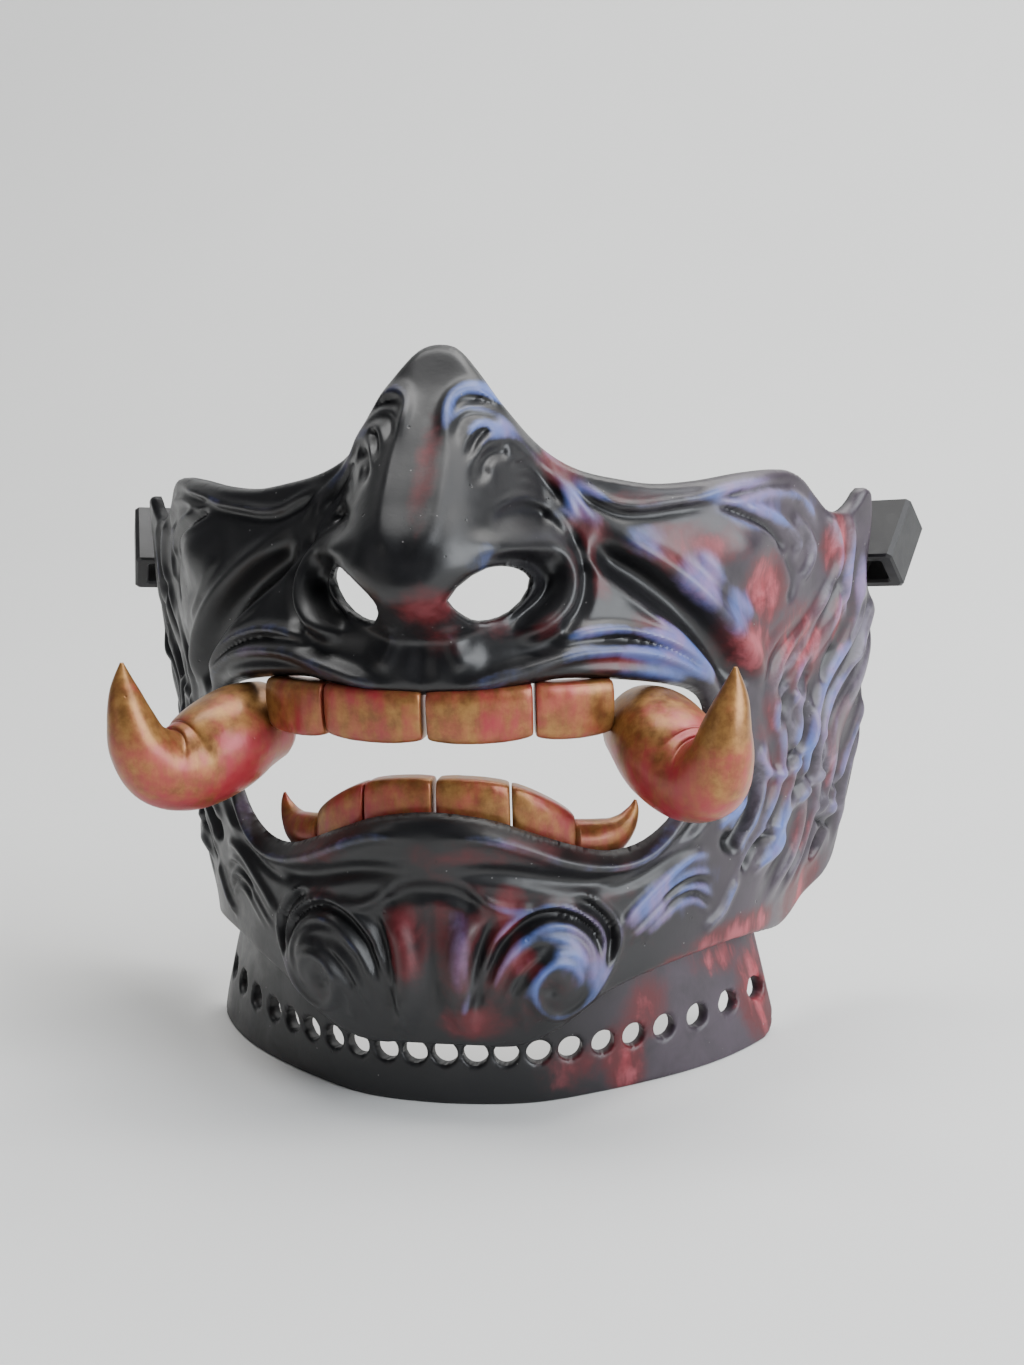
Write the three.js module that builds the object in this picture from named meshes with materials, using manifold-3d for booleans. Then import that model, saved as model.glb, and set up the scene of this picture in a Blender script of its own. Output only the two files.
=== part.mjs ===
// Ogre half mask: a rigid cast face shell from the bridge of the nose to the
// chin, with a laced chin band, a row of upper and lower teeth, two large
// tusks and a slotted strap block behind each cheek.
//
// Millimetres, +Z up. The mask faces -Y, X = 0 is its plane of symmetry and
// +X is the viewer's right. The chin band's flat lower edge lies on Z = 0.
// The face is a wall described in cylindrical coordinates about a vertical
// axis: an angle from the front in degrees, a height, and a radius.
import * as THREE from 'three';
import { mergeVertices } from 'three/addons/utils/BufferGeometryUtils.js';
import Module from 'manifold-3d';

// ---------------------------------------------------------------- dimensions
const AXIS_Y = 37.8;         // the cylindrical axis stands at (0, AXIS_Y)
const WALL = 3.6;            // radial wall of the face shell
const BAND_WALL = 3.2;       // chin band
const BAND_HOLE_D = 5.2;     // lacing holes, height
const BAND_HOLE_Z = 11;
// Angle and width of each lacing hole from the middle out; they open up and
// spread towards the ends.
const BAND_HOLES = [
  [0, 5.2], [4.9, 5.2], [9.8, 5.2], [15, 5.2], [20.2, 5.2], [26, 5.3],
  [31.9, 5.5], [38.4, 5.8], [46.2, 6.3], [55, 6.9], [64.4, 7.2],
];
const BAND_END = 69;         // degrees, each way from the front
const BLOCK = { across: 12.6, along: 18, deep: 11, slot: 6.4, chamfer: 0.9 };
// The flanks are drawn in behind a plane this far in front of the axis, more
// so towards the jaw.
const FLANK = { from: -23, draw: 0.46, jaw: 0.18, ease: 12, lift: 0.00235, eye: 152 };

// Radius of the face without the nose. Columns: angle from the front.
const FACE_ANGLE = [0, 15, 30, 45, 60, 75, 90, 105, 120];
const FACE = [
  { z: 0,   r: [77, 77, 74, 71, 71, 70, 72, 78, 85] },
  { z: 10,  r: [79, 79, 76, 72, 71, 69, 71, 77.5, 88] },
  { z: 28,  r: [83, 83, 78, 73, 71.5, 70.5, 72, 80, 92] },
  { z: 45,  r: [82, 81, 77, 74, 73, 73, 75.5, 83.5, 95.5] },
  { z: 58,  r: [84, 82, 78, 75, 74, 75, 78, 86, 98] },
  { z: 70,  r: [82, 81, 77, 74, 74, 76, 79.5, 87.5, 99] },
  { z: 82,  r: [82, 81, 78, 75, 74, 76, 81, 89, 100] },
  { z: 92,  r: [83, 81, 78, 76, 75, 77, 82.5, 91, 101] },
  { z: 105, r: [76, 75, 74, 74, 75, 77, 84, 93, 103] },
  { z: 118, r: [66, 66, 68, 71, 74, 77, 84.5, 94, 104] },
  { z: 132, r: [58, 58, 62, 68, 73, 77, 85, 95, 105] },
  { z: 155, r: [50, 50, 56, 64, 72, 77, 85, 95, 105] },
];
// Nose: radius of its ridge, half width of its front plane, and half width
// where it runs out into the cheek.
const NOSE = [
  { z: 98,    ridge: 83,    front: 3, foot: 10 },
  { z: 101,   ridge: 85,    front: 4, foot: 16 },
  { z: 104,   ridge: 87.5,  front: 5, foot: 22 },
  { z: 108,   ridge: 92,    front: 7, foot: 26 },
  { z: 113,   ridge: 94.7,  front: 9, foot: 27 },
  { z: 118,   ridge: 93,    front: 9, foot: 25 },
  { z: 126,   ridge: 86.4,  front: 8, foot: 23 },
  { z: 136,   ridge: 76.9,  front: 8, foot: 23 },
  { z: 146.5, ridge: 66.7,  front: 7, foot: 24 },
  { z: 155,   ridge: 59.6,  front: 6, foot: 25 },
  { z: 162,   ridge: 53,    front: 5, foot: 26 },
];
// Broad folds of the face, mirrored left and right. A fold follows a path of
// [angle, height] points; half is its half width and rise its height.
const FOLDS = [
  { name: 'cheek valley',   half: 6.5, rise: -4.2, path: [[24, 116], [31, 110], [38, 104], [46, 95], [52, 86], [56, 80]] },
  { name: 'cheek apple',    half: 12,  rise: 2.6,  path: [[50, 113], [56, 111], [60, 108]] },
  { name: 'nostril wing',   half: 5,   rise: 3.2,  path: [[9, 117], [16, 117], [21, 114], [22, 108], [19, 102], [13, 99]] },
  { name: 'upper lip roll', half: 4,   rise: 1.6,  path: [[5, 90], [14, 93], [24, 96], [34, 93], [44, 87], [49, 83]] },
  { name: 'lower lip roll', half: 4,   rise: 1.4,  path: [[0, 59], [8, 59], [14, 56], [26, 51], [36, 54], [44, 64]] },
  { name: 'chin boss',      half: 11,  rise: 2.4,  path: [[16, 32], [19, 29]] },
];
// Edge of the shell, right half, from the bridge of the nose round the cheek,
// the ear tab and the jaw to the middle of the chin.
const EDGE = [
  [0, 154.8], [4, 153.6], [8, 149], [12, 143], [17, 136.5], [22, 132], [27, 129], [33, 127.2],
  [40, 125.8], [48, 126], [57, 127], [66, 127], [71, 125], [75, 121], [79, 117.2], [84, 116],
  [87.5, 117.5], [90.5, 120.2], [92.8, 120], [94, 117], [94.2, 111], [94.2, 104.5], [95.4, 98.8], [99.2, 94.4], [103, 89.5], [105, 84],
  [107, 72], [109.5, 60], [110.5, 48], [110.5, 38], [110, 30], [108, 25.4], [103, 23.8], [96, 23.9], [88, 23.8],
  [80, 23.2], [72, 23], [64, 24.8], [58, 26], [52, 26.6], [44, 26.8], [37, 26.7], [31, 26], [26, 24.6],
  [22, 22], [18.5, 18.6], [15, 16], [11, 14.4], [5, 14.6], [0, 14.6],
];
const MOUTH = [
  [0, 87.4], [7, 87.7], [12, 88.3], [16, 89.2], [20, 89.6], [27, 88.6], [36, 86.4], [43, 83.4],
  [46, 79], [46.5, 72], [44, 65], [40.5, 60.5], [36.5, 56.4], [31.5, 53.6], [26, 53.4],
  [20, 56], [14, 59.4], [8, 62.4], [0, 63.8],
];
const NOSTRIL = [
  [4.4, 107.4], [5.7, 109.8], [7.6, 112], [9.5, 113], [11.6, 112.7], [13.8, 111.4], [15.3, 109.4],
  [14.9, 107.2], [13.6, 104.5], [11.7, 102.7], [9.3, 101.7], [7.2, 101.9], [5.6, 103.6], [4.7, 105.6],
];
const JAW_HOLE = { angle: 90.6, z: 36.5, half: 4.4, high: 3.2 }; // degrees, millimetres

// Chin band: outer radius along its lower edge and along its upper edge.
const BAND = [
  { angle: 0,  low: 75.2, high: 75.2 },
  { angle: 15, low: 74.6, high: 75 },
  { angle: 25, low: 72.4, high: 73 },
  { angle: 35, low: 71.2, high: 69.8 },
  { angle: 45, low: 71, high: 67.2 },
  { angle: 55, low: 71, high: 65.2 },
  { angle: 69, low: 71, high: 64.6 },
];
const BAND_TOP = 28;

// Teeth, right half. Each is a bar bent along the jaw from angle a to b with
// its crown and root heights at both ends; r is the front radius at both ends.
const TEETH = [
  { name: 'upper_incisor', a: 0.35,  b: 15,   top: [86.6, 87.4], low: [78.4, 78.2], r: [83.4, 82.2], deep: 7.5 },
  { name: 'upper_lateral', a: 15.5,  b: 26.8, top: [87.4, 87.6], low: [78.2, 78], r: [82.2, 79.6], deep: 7.5 },
  { name: 'lower_incisor', a: 0.35,  b: 11.4, top: [70, 68.2],   low: [60, 57],     r: [77.4, 76.4], deep: 7 },
  { name: 'lower_lateral', a: 11.9,  b: 21.6, top: [68, 60.6],   low: [57, 51.4],   r: [76.4, 73.6], deep: 7 },
  { name: 'lower_fang',    a: 22.1,  b: 34,   top: [59.4, 60.4], low: [51, 50],     r: [73.4, 70.4], deep: 6 },
];
// Right tusk: centre line, its y counted from the axis, and half thickness.
const TUSK = [
  { x: 39.9, y: -59.6, z: 77.4, r: 8 },
  { x: 43.7, y: -65.4, z: 76.3, r: 9.5 },
  { x: 47.2, y: -71,   z: 73.8, r: 10.2 },
  { x: 51.2, y: -76.2, z: 71.4, r: 9.4 },
  { x: 55.2, y: -81.2, z: 72.4, r: 8.1 },
  { x: 57.8, y: -85,   z: 77.2, r: 6.5 },
  { x: 59,   y: -86.3, z: 83,   r: 4.9 },
  { x: 60.2, y: -85.8, z: 89,   r: 3.1 },
  { x: 60.6, y: -85.1, z: 94.2, r: 0.7 },
];
// Right strap block: centre, and the direction of its slot.
const BLOCK_AT = new THREE.Vector3(88.6, AXIS_Y + 7.25, 107.2);
const BLOCK_SLOT = new THREE.Vector3(-0.26, -0.7, -0.66);
const BLOCK_ACROSS = new THREE.Vector3(0.93, -0.25, 0.2);

// ------------------------------------------------------------------- curves
// Smooth curve through unevenly spaced knots.
function through(xs, ys, x) {
  const n = xs.length;
  const q = Math.min(Math.max(x, xs[0]), xs[n - 1]);
  let i = 0;
  while (i < n - 2 && q > xs[i + 1]) i++;
  const step = (k) => xs[k + 1] - xs[k];
  const slope = (k) => (ys[k + 1] - ys[k]) / step(k);
  const tangent = (k) => {
    if (k === 0) return slope(0);
    if (k === n - 1) return slope(n - 2);
    return (slope(k - 1) * step(k) + slope(k) * step(k - 1)) / (step(k) + step(k - 1));
  };
  const h = step(i), t = (q - xs[i]) / h, t2 = t * t, t3 = t2 * t;
  return (2 * t3 - 3 * t2 + 1) * ys[i] + (t3 - 2 * t2 + t) * h * tangent(i)
    + (-2 * t3 + 3 * t2) * ys[i + 1] + (t3 - t2) * h * tangent(i + 1);
}
const smooth = (a, b, x) => {
  const t = Math.min(Math.max((x - a) / (b - a), 0), 1);
  return t * t * (3 - 2 * t);
};
const rad = (deg) => deg * Math.PI / 180;
const MM_PER_DEG = rad(1) * 77;

const FACE_Z = FACE.map((row) => row.z);
const MIRROR_ANGLE = [-30, -15, ...FACE_ANGLE];
function faceRadius(angle, z) {
  const column = FACE_ANGLE.map((_, k) => through(FACE_Z, FACE.map((row) => row.r[k]), z));
  return through(MIRROR_ANGLE, [column[2], column[1], ...column], Math.abs(angle));
}
const NOSE_Z = NOSE.map((row) => row.z);
function noseRise(angle, z, r) {
  if (z <= 96) return 0;
  const ridge = through(NOSE_Z, NOSE.map((row) => row.ridge), z);
  const front = 0.4 * through(NOSE_Z, NOSE.map((row) => row.front), z);
  const foot = through(NOSE_Z, NOSE.map((row) => row.foot), z);
  const rise = Math.max(ridge - faceRadius(0, z), 0);
  const x = Math.abs(r * Math.sin(rad(angle)));
  return rise * (1 - smooth(front, foot, x)) * smooth(96, 101, z);
}
function pathDistance(path, angle, z) {
  const a = Math.abs(angle);
  let best = Infinity;
  for (let i = 0; i < path.length - 1; i++) {
    const ux = (path[i + 1][0] - path[i][0]) * MM_PER_DEG, uz = path[i + 1][1] - path[i][1];
    const px = (a - path[i][0]) * MM_PER_DEG, pz = z - path[i][1];
    const t = Math.min(Math.max((px * ux + pz * uz) / (ux * ux + uz * uz), 0), 1);
    best = Math.min(best, Math.hypot(px - t * ux, pz - t * uz));
  }
  return best;
}
function outerRadius(angle, z) {
  const r = faceRadius(angle, z);
  let sum = r + noseRise(angle, z, r);
  for (const fold of FOLDS) {
    const d = pathDistance(fold.path, angle, z) / fold.half;
    if (d < 1) sum += fold.rise * Math.cos(d * Math.PI / 2) ** 2;
  }
  return sum;
}
const place = (angle, z, r) => {
  const depth = -r * Math.cos(rad(angle)), past = Math.max(depth - FLANK.from, 0);
  const draw = FLANK.draw + FLANK.jaw * (1 - smooth(35, 105, z));
  const pull = draw * past * past / (past + FLANK.ease);
  return [r * Math.sin(rad(angle)), AXIS_Y + depth - pull, z + (FLANK.eye - z) * FLANK.lift * pull];
};

// ------------------------------------------------------------------ meshing
function toGeometry(points, faces) {
  const geometry = new THREE.BufferGeometry();
  geometry.setAttribute('position', new THREE.Float32BufferAttribute(points.flat(), 3));
  let volume = 0;
  const p = (k) => new THREE.Vector3(...points[k]);
  for (const [a, b, c] of faces) volume += p(a).dot(p(b).cross(p(c)));
  geometry.setIndex((volume < 0 ? faces.map(([a, b, c]) => [a, c, b]) : faces).flat());
  geometry.computeVertexNormals();
  return geometry;
}

// Skin through a row of closed sections with the same number of points,
// closed at both ends.
function loft(sections) {
  const n = sections[0].length, points = sections.flat(), faces = [];
  for (let s = 0; s < sections.length - 1; s++) {
    for (let k = 0; k < n; k++) {
      const a = s * n + k, b = s * n + (k + 1) % n;
      faces.push([a, b, b + n], [a, b + n, a + n]);
    }
  }
  for (const [start, turned] of [[0, true], [(sections.length - 1) * n, false]]) {
    const middle = points.length;
    const sum = [0, 0, 0];
    for (let k = 0; k < n; k++) for (let c = 0; c < 3; c++) sum[c] += points[start + k][c] / n;
    points.push(sum);
    for (let k = 0; k < n; k++) {
      const a = start + k, b = start + (k + 1) % n;
      faces.push(turned ? [b, a, middle] : [a, b, middle]);
    }
  }
  return toGeometry(points, faces);
}

// A wall over a region of the (angle, height) sheet bounded by closed loops.
// A grid is cut by the loops; grid points close to a loop move onto it.
function wall(angles, heights, loops, outer, inner) {
  const flat = loops.map((loop) => loop.map(([a, z]) => [a * MM_PER_DEG, z]));
  const inside = (x, y) => {
    let odd = false;
    for (const loop of flat) {
      for (let i = 0, j = loop.length - 1; i < loop.length; j = i++) {
        const [xi, yi] = loop[i], [xj, yj] = loop[j];
        if ((yi > y) !== (yj > y) && x < (xj - xi) * (y - yi) / (yj - yi) + xi) odd = !odd;
      }
    }
    return odd;
  };
  const nearest = (x, y) => {
    let best = [Infinity, 0, 0];
    for (const loop of flat) {
      for (let i = 0, j = loop.length - 1; i < loop.length; j = i++) {
        const [x0, y0] = loop[j], ux = loop[i][0] - x0, uy = loop[i][1] - y0;
        const t = Math.min(Math.max(((x - x0) * ux + (y - y0) * uy) / (ux * ux + uy * uy), 0), 1);
        const d = Math.hypot(x - x0 - t * ux, y - y0 - t * uy);
        if (d < best[0]) best = [d, x0 + t * ux, y0 + t * uy];
      }
    }
    return best;
  };
  const distance = (x, y) => nearest(x, y)[0] * (inside(x, y) ? 1 : -1);

  const nodes = [], state = [];
  const rows = heights.length, columns = angles.length;
  for (let i = 0; i < columns; i++) {
    for (let j = 0; j < rows; j++) {
      const x = angles[i] * MM_PER_DEG, y = heights[j];
      const stepX = Math.abs((angles[Math.min(i + 1, columns - 1)] - angles[Math.max(i - 1, 0)]) / 2 * MM_PER_DEG);
      const snap = 0.36 * Math.min(stepX, heights[1] - heights[0]);
      const [d, nx, ny] = nearest(x, y);
      if (d < snap) {
        // points on the symmetry line stay on it
        nodes.push([i === (columns - 1) / 2 ? 0 : nx, ny]);
        state.push(0);
      } else {
        nodes.push([x, y]);
        state.push(inside(x, y) ? 1 : -1);
      }
    }
  }
  const crossings = new Map();
  const crossing = (a, b) => {
    const key = a < b ? `${a}_${b}` : `${b}_${a}`;
    if (!crossings.has(key)) {
      let [p, q] = state[a] > 0 ? [nodes[a], nodes[b]] : [nodes[b], nodes[a]];
      for (let k = 0; k < 24; k++) {
        const m = [(p[0] + q[0]) / 2, (p[1] + q[1]) / 2];
        if (distance(...m) > 0) p = m; else q = m;
      }
      nodes.push(p);
      crossings.set(key, nodes.length - 1);
    }
    return crossings.get(key);
  };
  const sheet = [];
  const clip = (triangle) => {
    const s = triangle.map((k) => state[k]);
    if (s.every((v) => v === 0)) {
      const cx = triangle.reduce((t, k) => t + nodes[k][0] / 3, 0);
      const cy = triangle.reduce((t, k) => t + nodes[k][1] / 3, 0);
      if (inside(cx, cy)) sheet.push(triangle);
      return;
    }
    if (Math.max(...s) <= 0) return;
    const ring = [];
    for (let k = 0; k < 3; k++) {
      const a = triangle[k], b = triangle[(k + 1) % 3];
      if (state[a] >= 0) ring.push(a);
      if (state[a] * state[b] < 0) ring.push(crossing(a, b));
    }
    for (let k = 1; k < ring.length - 1; k++) sheet.push([ring[0], ring[k], ring[k + 1]]);
  };
  for (let i = 0; i < columns - 1; i++) {
    for (let j = 0; j < rows - 1; j++) {
      const a = i * rows + j, b = a + rows, c = b + 1, d = a + 1;
      if (i >= (columns - 1) / 2) { clip([a, b, c]); clip([a, c, d]); }
      else { clip([a, b, d]); clip([b, c, d]); }
    }
  }
  const used = [...new Set(sheet.flat())].sort((a, b) => a - b);
  const number = new Map(used.map((k, i) => [k, i]));
  const n = used.length, points = [];
  for (const side of [outer, inner]) {
    for (const k of used) {
      const angle = nodes[k][0] / MM_PER_DEG, z = nodes[k][1];
      points.push(place(angle, z, side(angle, z)));
    }
  }
  const faces = [], open = new Map();
  for (const triangle of sheet) {
    const [a, b, c] = triangle.map((k) => number.get(k));
    faces.push([a, b, c], [a + n, c + n, b + n]);
    for (const [p, q] of [[a, b], [b, c], [c, a]]) {
      if (open.has(`${q}_${p}`)) open.delete(`${q}_${p}`);
      else open.set(`${p}_${q}`, [p, q]);
    }
  }
  for (const [p, q] of open.values()) faces.push([q, p, p + n], [q, p + n, q + n]);
  return toGeometry(points, faces);
}

// -------------------------------------------------------------------- solids
const wasm = await Module();
wasm.setup();
function toSolid(geometry) {
  const bare = geometry.clone();
  for (const name of Object.keys(bare.attributes)) if (name !== 'position') bare.deleteAttribute(name);
  const merged = mergeVertices(bare, 1e-4);
  return new wasm.Manifold(new wasm.Mesh({
    numProp: 3,
    vertProperties: new Float32Array(merged.attributes.position.array),
    triVerts: new Uint32Array(merged.index.array),
  }));
}
function fromSolid(solid) {
  const mesh = solid.getMesh();
  const geometry = new THREE.BufferGeometry();
  geometry.setAttribute('position', new THREE.Float32BufferAttribute(Array.from(mesh.vertProperties), 3));
  geometry.setIndex(Array.from(mesh.triVerts));
  geometry.computeVertexNormals();
  return geometry;
}
const mirrored = (geometry) => {
  const copy = geometry.clone();
  copy.scale(-1, 1, 1);
  const index = copy.index.array;
  for (let k = 0; k < index.length; k += 3) [index[k + 1], index[k + 2]] = [index[k + 2], index[k + 1]];
  copy.computeVertexNormals();
  return copy;
};

// --------------------------------------------------------------- face shell
const both = (half) => [...half, ...half.slice(1, -1).reverse().map(([a, z]) => [-a, z])];
const jawHole = Array.from({ length: 10 }, (_, k) => {
  const t = k / 10 * 2 * Math.PI;
  return [JAW_HOLE.angle + JAW_HOLE.half * Math.cos(t), JAW_HOLE.z + JAW_HOLE.high * Math.sin(t)];
});
const flip = (loop) => loop.map(([a, z]) => [-a, z]);
const shellAngles = [];
for (let a = 0; a < 34; a += 3.4) shellAngles.push(a);
for (let a = 34; a <= 118; a += 4.2) shellAngles.push(a);
const shellHeights = Array.from({ length: 34 }, (_, k) => 11 + k * 4.4);
const shell = wall(
  [...shellAngles.slice(1).reverse().map((a) => -a), ...shellAngles], shellHeights,
  [both(EDGE), both(MOUTH), NOSTRIL, flip(NOSTRIL), jawHole, flip(jawHole)],
  outerRadius, (angle, z) => outerRadius(angle, z) - WALL,
);

// ---------------------------------------------------------------- chin band
const bandRadius = (angle, z) => {
  const list = BAND.map((row) => row.angle), a = Math.abs(angle);
  const low = through(list, BAND.map((row) => row.low), a);
  const high = through(list, BAND.map((row) => row.high), a);
  return low + (high - low) * Math.min(z / 25, 1);
};
const bandLow = (angle) => 7 * Math.max(0, (Math.abs(angle) - (BAND_END - 6)) / 6) ** 2;
const bandSections = [];
for (let k = 0; k <= 30; k++) {
  const angle = -BAND_END + 2 * BAND_END * k / 30;
  const low = bandLow(angle);
  const corner = (z, inset) => place(angle, z, bandRadius(angle, z) - inset);
  bandSections.push([
    corner(low, 0), corner(14, 0), corner(BAND_TOP, 0),
    corner(BAND_TOP, BAND_WALL), corner(14, BAND_WALL), corner(low, BAND_WALL),
  ]);
}
let band = toSolid(loft(bandSections));
for (const [angle, width] of [...BAND_HOLES, ...BAND_HOLES.slice(1).map(([a, w]) => [-a, w])]) {
  const drill = new THREE.CylinderGeometry(BAND_HOLE_D / 2, BAND_HOLE_D / 2, 14, 10);
  drill.scale(width / BAND_HOLE_D, 1, 1);
  drill.rotateZ(rad(90));
  drill.rotateZ(rad(angle - 90));
  const [x, y, z] = place(angle, BAND_HOLE_Z, bandRadius(angle, BAND_HOLE_Z) - BAND_WALL / 2);
  drill.translate(x, y, z);
  band = band.subtract(toSolid(drill));
}

// -------------------------------------------------------------------- teeth
function tooth({ a, b, top, low, r, deep }) {
  const sections = [];
  const stations = [0, 0.1, 0.3, 0.5, 0.7, 0.9, 1];
  for (const t of stations) {
    const shrink = t === 0 || t === 1 ? 0.78 : 1;
    const angle = a + (b - a) * t;
    const zTop = top[0] + (top[1] - top[0]) * t, zLow = low[0] + (low[1] - low[0]) * t;
    const rFront = r[0] + (r[1] - r[0]) * t;
    const zm = (zTop + zLow) / 2, h = (zTop - zLow) / 2 * shrink;
    const rm = rFront - deep / 2, w = deep / 2 * shrink;
    sections.push([[-1, -0.72], [-0.72, -1], [0.7, -1], [1, -0.66], [1, 0.66], [0.7, 1], [-0.72, 1], [-1, 0.72]]
      .map(([u, v]) => place(angle, zm + v * h, rm + u * w)));
  }
  return loft(sections);
}

// -------------------------------------------------------------------- tusks
function tusk() {
  const curve = new THREE.CatmullRomCurve3(TUSK.map((p) => new THREE.Vector3(p.x, AXIS_Y + p.y, p.z)), false, 'centripetal');
  const steps = 16, around = 12;
  const frames = curve.computeFrenetFrames(steps, false);
  const sections = [];
  for (let s = 0; s <= steps; s++) {
    const t = s / steps, at = curve.getPointAt(t), k = curve.getUtoTmapping(t) * (TUSK.length - 1);
    const i = Math.min(Math.floor(k), TUSK.length - 2);
    const r = TUSK[i].r + (TUSK[i + 1].r - TUSK[i].r) * (k - i);
    sections.push(Array.from({ length: around }, (_, j) => {
      const v = j / around * 2 * Math.PI;
      return at.clone().addScaledVector(frames.normals[s], r * Math.cos(v))
        .addScaledVector(frames.binormals[s], r * Math.sin(v)).toArray();
    }));
  }
  return loft(sections);
}

// ------------------------------------------------------------- strap blocks
function strapBlock() {
  const { across, along, deep, slot, chamfer } = BLOCK;
  const w = across / 2, h = deep / 2, c = chamfer;
  const outline = new THREE.Shape([[-w + c, -h], [w - c, -h], [w, -h + c], [w, h - c], [w - c, h], [-w + c, h], [-w, h - c], [-w, -h + c]]
    .map(([x, y]) => new THREE.Vector2(x, y)));
  const s = slot / 2;
  outline.holes.push(new THREE.Path([[-s, -s], [-s, s], [s, s], [s, -s]].map(([x, y]) => new THREE.Vector2(x, y))));
  const geometry = new THREE.ExtrudeGeometry(outline, { depth: along, bevelEnabled: false, steps: 1 });
  geometry.translate(0, 0, -along / 2);
  const axis = BLOCK_SLOT.clone().normalize();
  const side = BLOCK_ACROSS.clone().addScaledVector(axis, -BLOCK_ACROSS.dot(axis)).normalize();
  const third = axis.clone().cross(side);
  geometry.applyMatrix4(new THREE.Matrix4().makeBasis(side, third, axis));
  geometry.translate(BLOCK_AT.x, BLOCK_AT.y, BLOCK_AT.z);
  geometry.deleteAttribute('normal');
  geometry.deleteAttribute('uv');
  const merged = mergeVertices(geometry, 1e-4);
  merged.computeVertexNormals();
  return merged;
}

// ----------------------------------------------------------------- assembly
const group = new THREE.Group();
const lacquer = { color: 0x1d1a20, roughness: 0.34, metalness: 0 };
const bare = { color: 0x1c1c1e, roughness: 0.5, metalness: 0 };
const gold = { color: 0xa2602f, roughness: 0.38, metalness: 0.55 };
function add(name, geometry, paint) {
  const mesh = new THREE.Mesh(geometry, new THREE.MeshStandardMaterial(paint));
  mesh.name = name;
  group.add(mesh);
}
add('face_shell', shell, lacquer);
add('chin_band', fromSolid(band), lacquer);
for (const row of TEETH) {
  const geometry = tooth(row);
  add(`${row.name}_right`, geometry, gold);
  add(`${row.name}_left`, mirrored(geometry), gold);
}
const horn = tusk();
add('tusk_right', horn, gold);
add('tusk_left', mirrored(horn), gold);
const block = strapBlock();
add('strap_block_right', block, bare);
add('strap_block_left', mirrored(block), bare);

export default group;
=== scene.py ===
# Ogre half mask: the fine carved surface, teeth, tusks, chin band and strap
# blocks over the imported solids. Lengths in the tables are millimetres.
import bpy
import math
import numpy as np
from mathutils import Matrix, Vector


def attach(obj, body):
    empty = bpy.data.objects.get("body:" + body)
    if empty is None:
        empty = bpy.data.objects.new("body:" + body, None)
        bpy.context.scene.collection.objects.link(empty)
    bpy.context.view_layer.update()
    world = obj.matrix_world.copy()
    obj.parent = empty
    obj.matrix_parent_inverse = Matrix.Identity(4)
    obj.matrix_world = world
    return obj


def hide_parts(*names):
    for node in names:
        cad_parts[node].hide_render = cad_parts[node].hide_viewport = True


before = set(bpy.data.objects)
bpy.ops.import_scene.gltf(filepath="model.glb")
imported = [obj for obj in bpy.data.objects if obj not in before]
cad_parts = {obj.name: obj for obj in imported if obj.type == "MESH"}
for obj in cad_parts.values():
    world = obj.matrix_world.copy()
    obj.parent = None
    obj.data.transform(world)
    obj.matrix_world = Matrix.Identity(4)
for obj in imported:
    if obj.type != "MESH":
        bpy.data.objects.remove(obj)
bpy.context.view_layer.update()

AXIS_Y = 37.8                    # the cylindrical axis of the face stands at (0, AXIS_Y)
WALL = 3.6
FLANK_FROM, FLANK_DRAW, FLANK_JAW, FLANK_EASE, FLANK_LIFT, FLANK_EYE = -23.0, 0.46, 0.18, 12.0, 0.00235, 152.0
DEG = math.pi / 180.0
MM_PER_DEG = 77.0 * DEG

# ------------------------------------------------------------ face, no nose
FACE_ANGLE = np.array([0, 15, 30, 45, 60, 75, 90, 105, 120.0])
FACE_Z = np.array([0, 10, 28, 45, 58, 70, 82, 92, 105, 118, 132, 155.0])
FACE_R = np.array([
    [77, 77, 74, 71, 71, 70, 72, 78, 85],
    [79, 79, 76, 72, 71, 69, 71, 77.5, 88],
    [83, 83, 78, 73, 71.5, 70.5, 72, 80, 92],
    [82, 81, 77, 74, 73, 73, 75.5, 83.5, 95.5],
    [84, 82, 78, 75, 74, 75, 78, 86, 98],
    [82, 81, 77, 74, 74, 76, 79.5, 87.5, 99],
    [82, 81, 78, 75, 74, 76, 81, 89, 100],
    [83, 81, 78, 76, 75, 77, 82.5, 91, 101],
    [76, 75, 74, 74, 75, 77, 84, 93, 103],
    [66, 66, 68, 71, 74, 77, 84.5, 94, 104],
    [58, 58, 62, 68, 73, 77, 85, 95, 105],
    [50, 50, 56, 64, 72, 77, 85, 95, 105.0]])
# nose: height, ridge radius, half width of the front plane, half width at its foot
NOSE = np.array([
    [98, 83, 3, 10], [101, 85, 4, 16], [104, 87.5, 5, 22], [108, 92, 7, 26], [113, 94.7, 9, 27],
    [118, 93, 9, 25], [126, 86.4, 8, 23], [136, 76.9, 8, 23], [146.5, 66.7, 7, 24], [155, 59.6, 6, 25], [162, 53, 5, 26.0]])

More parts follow.
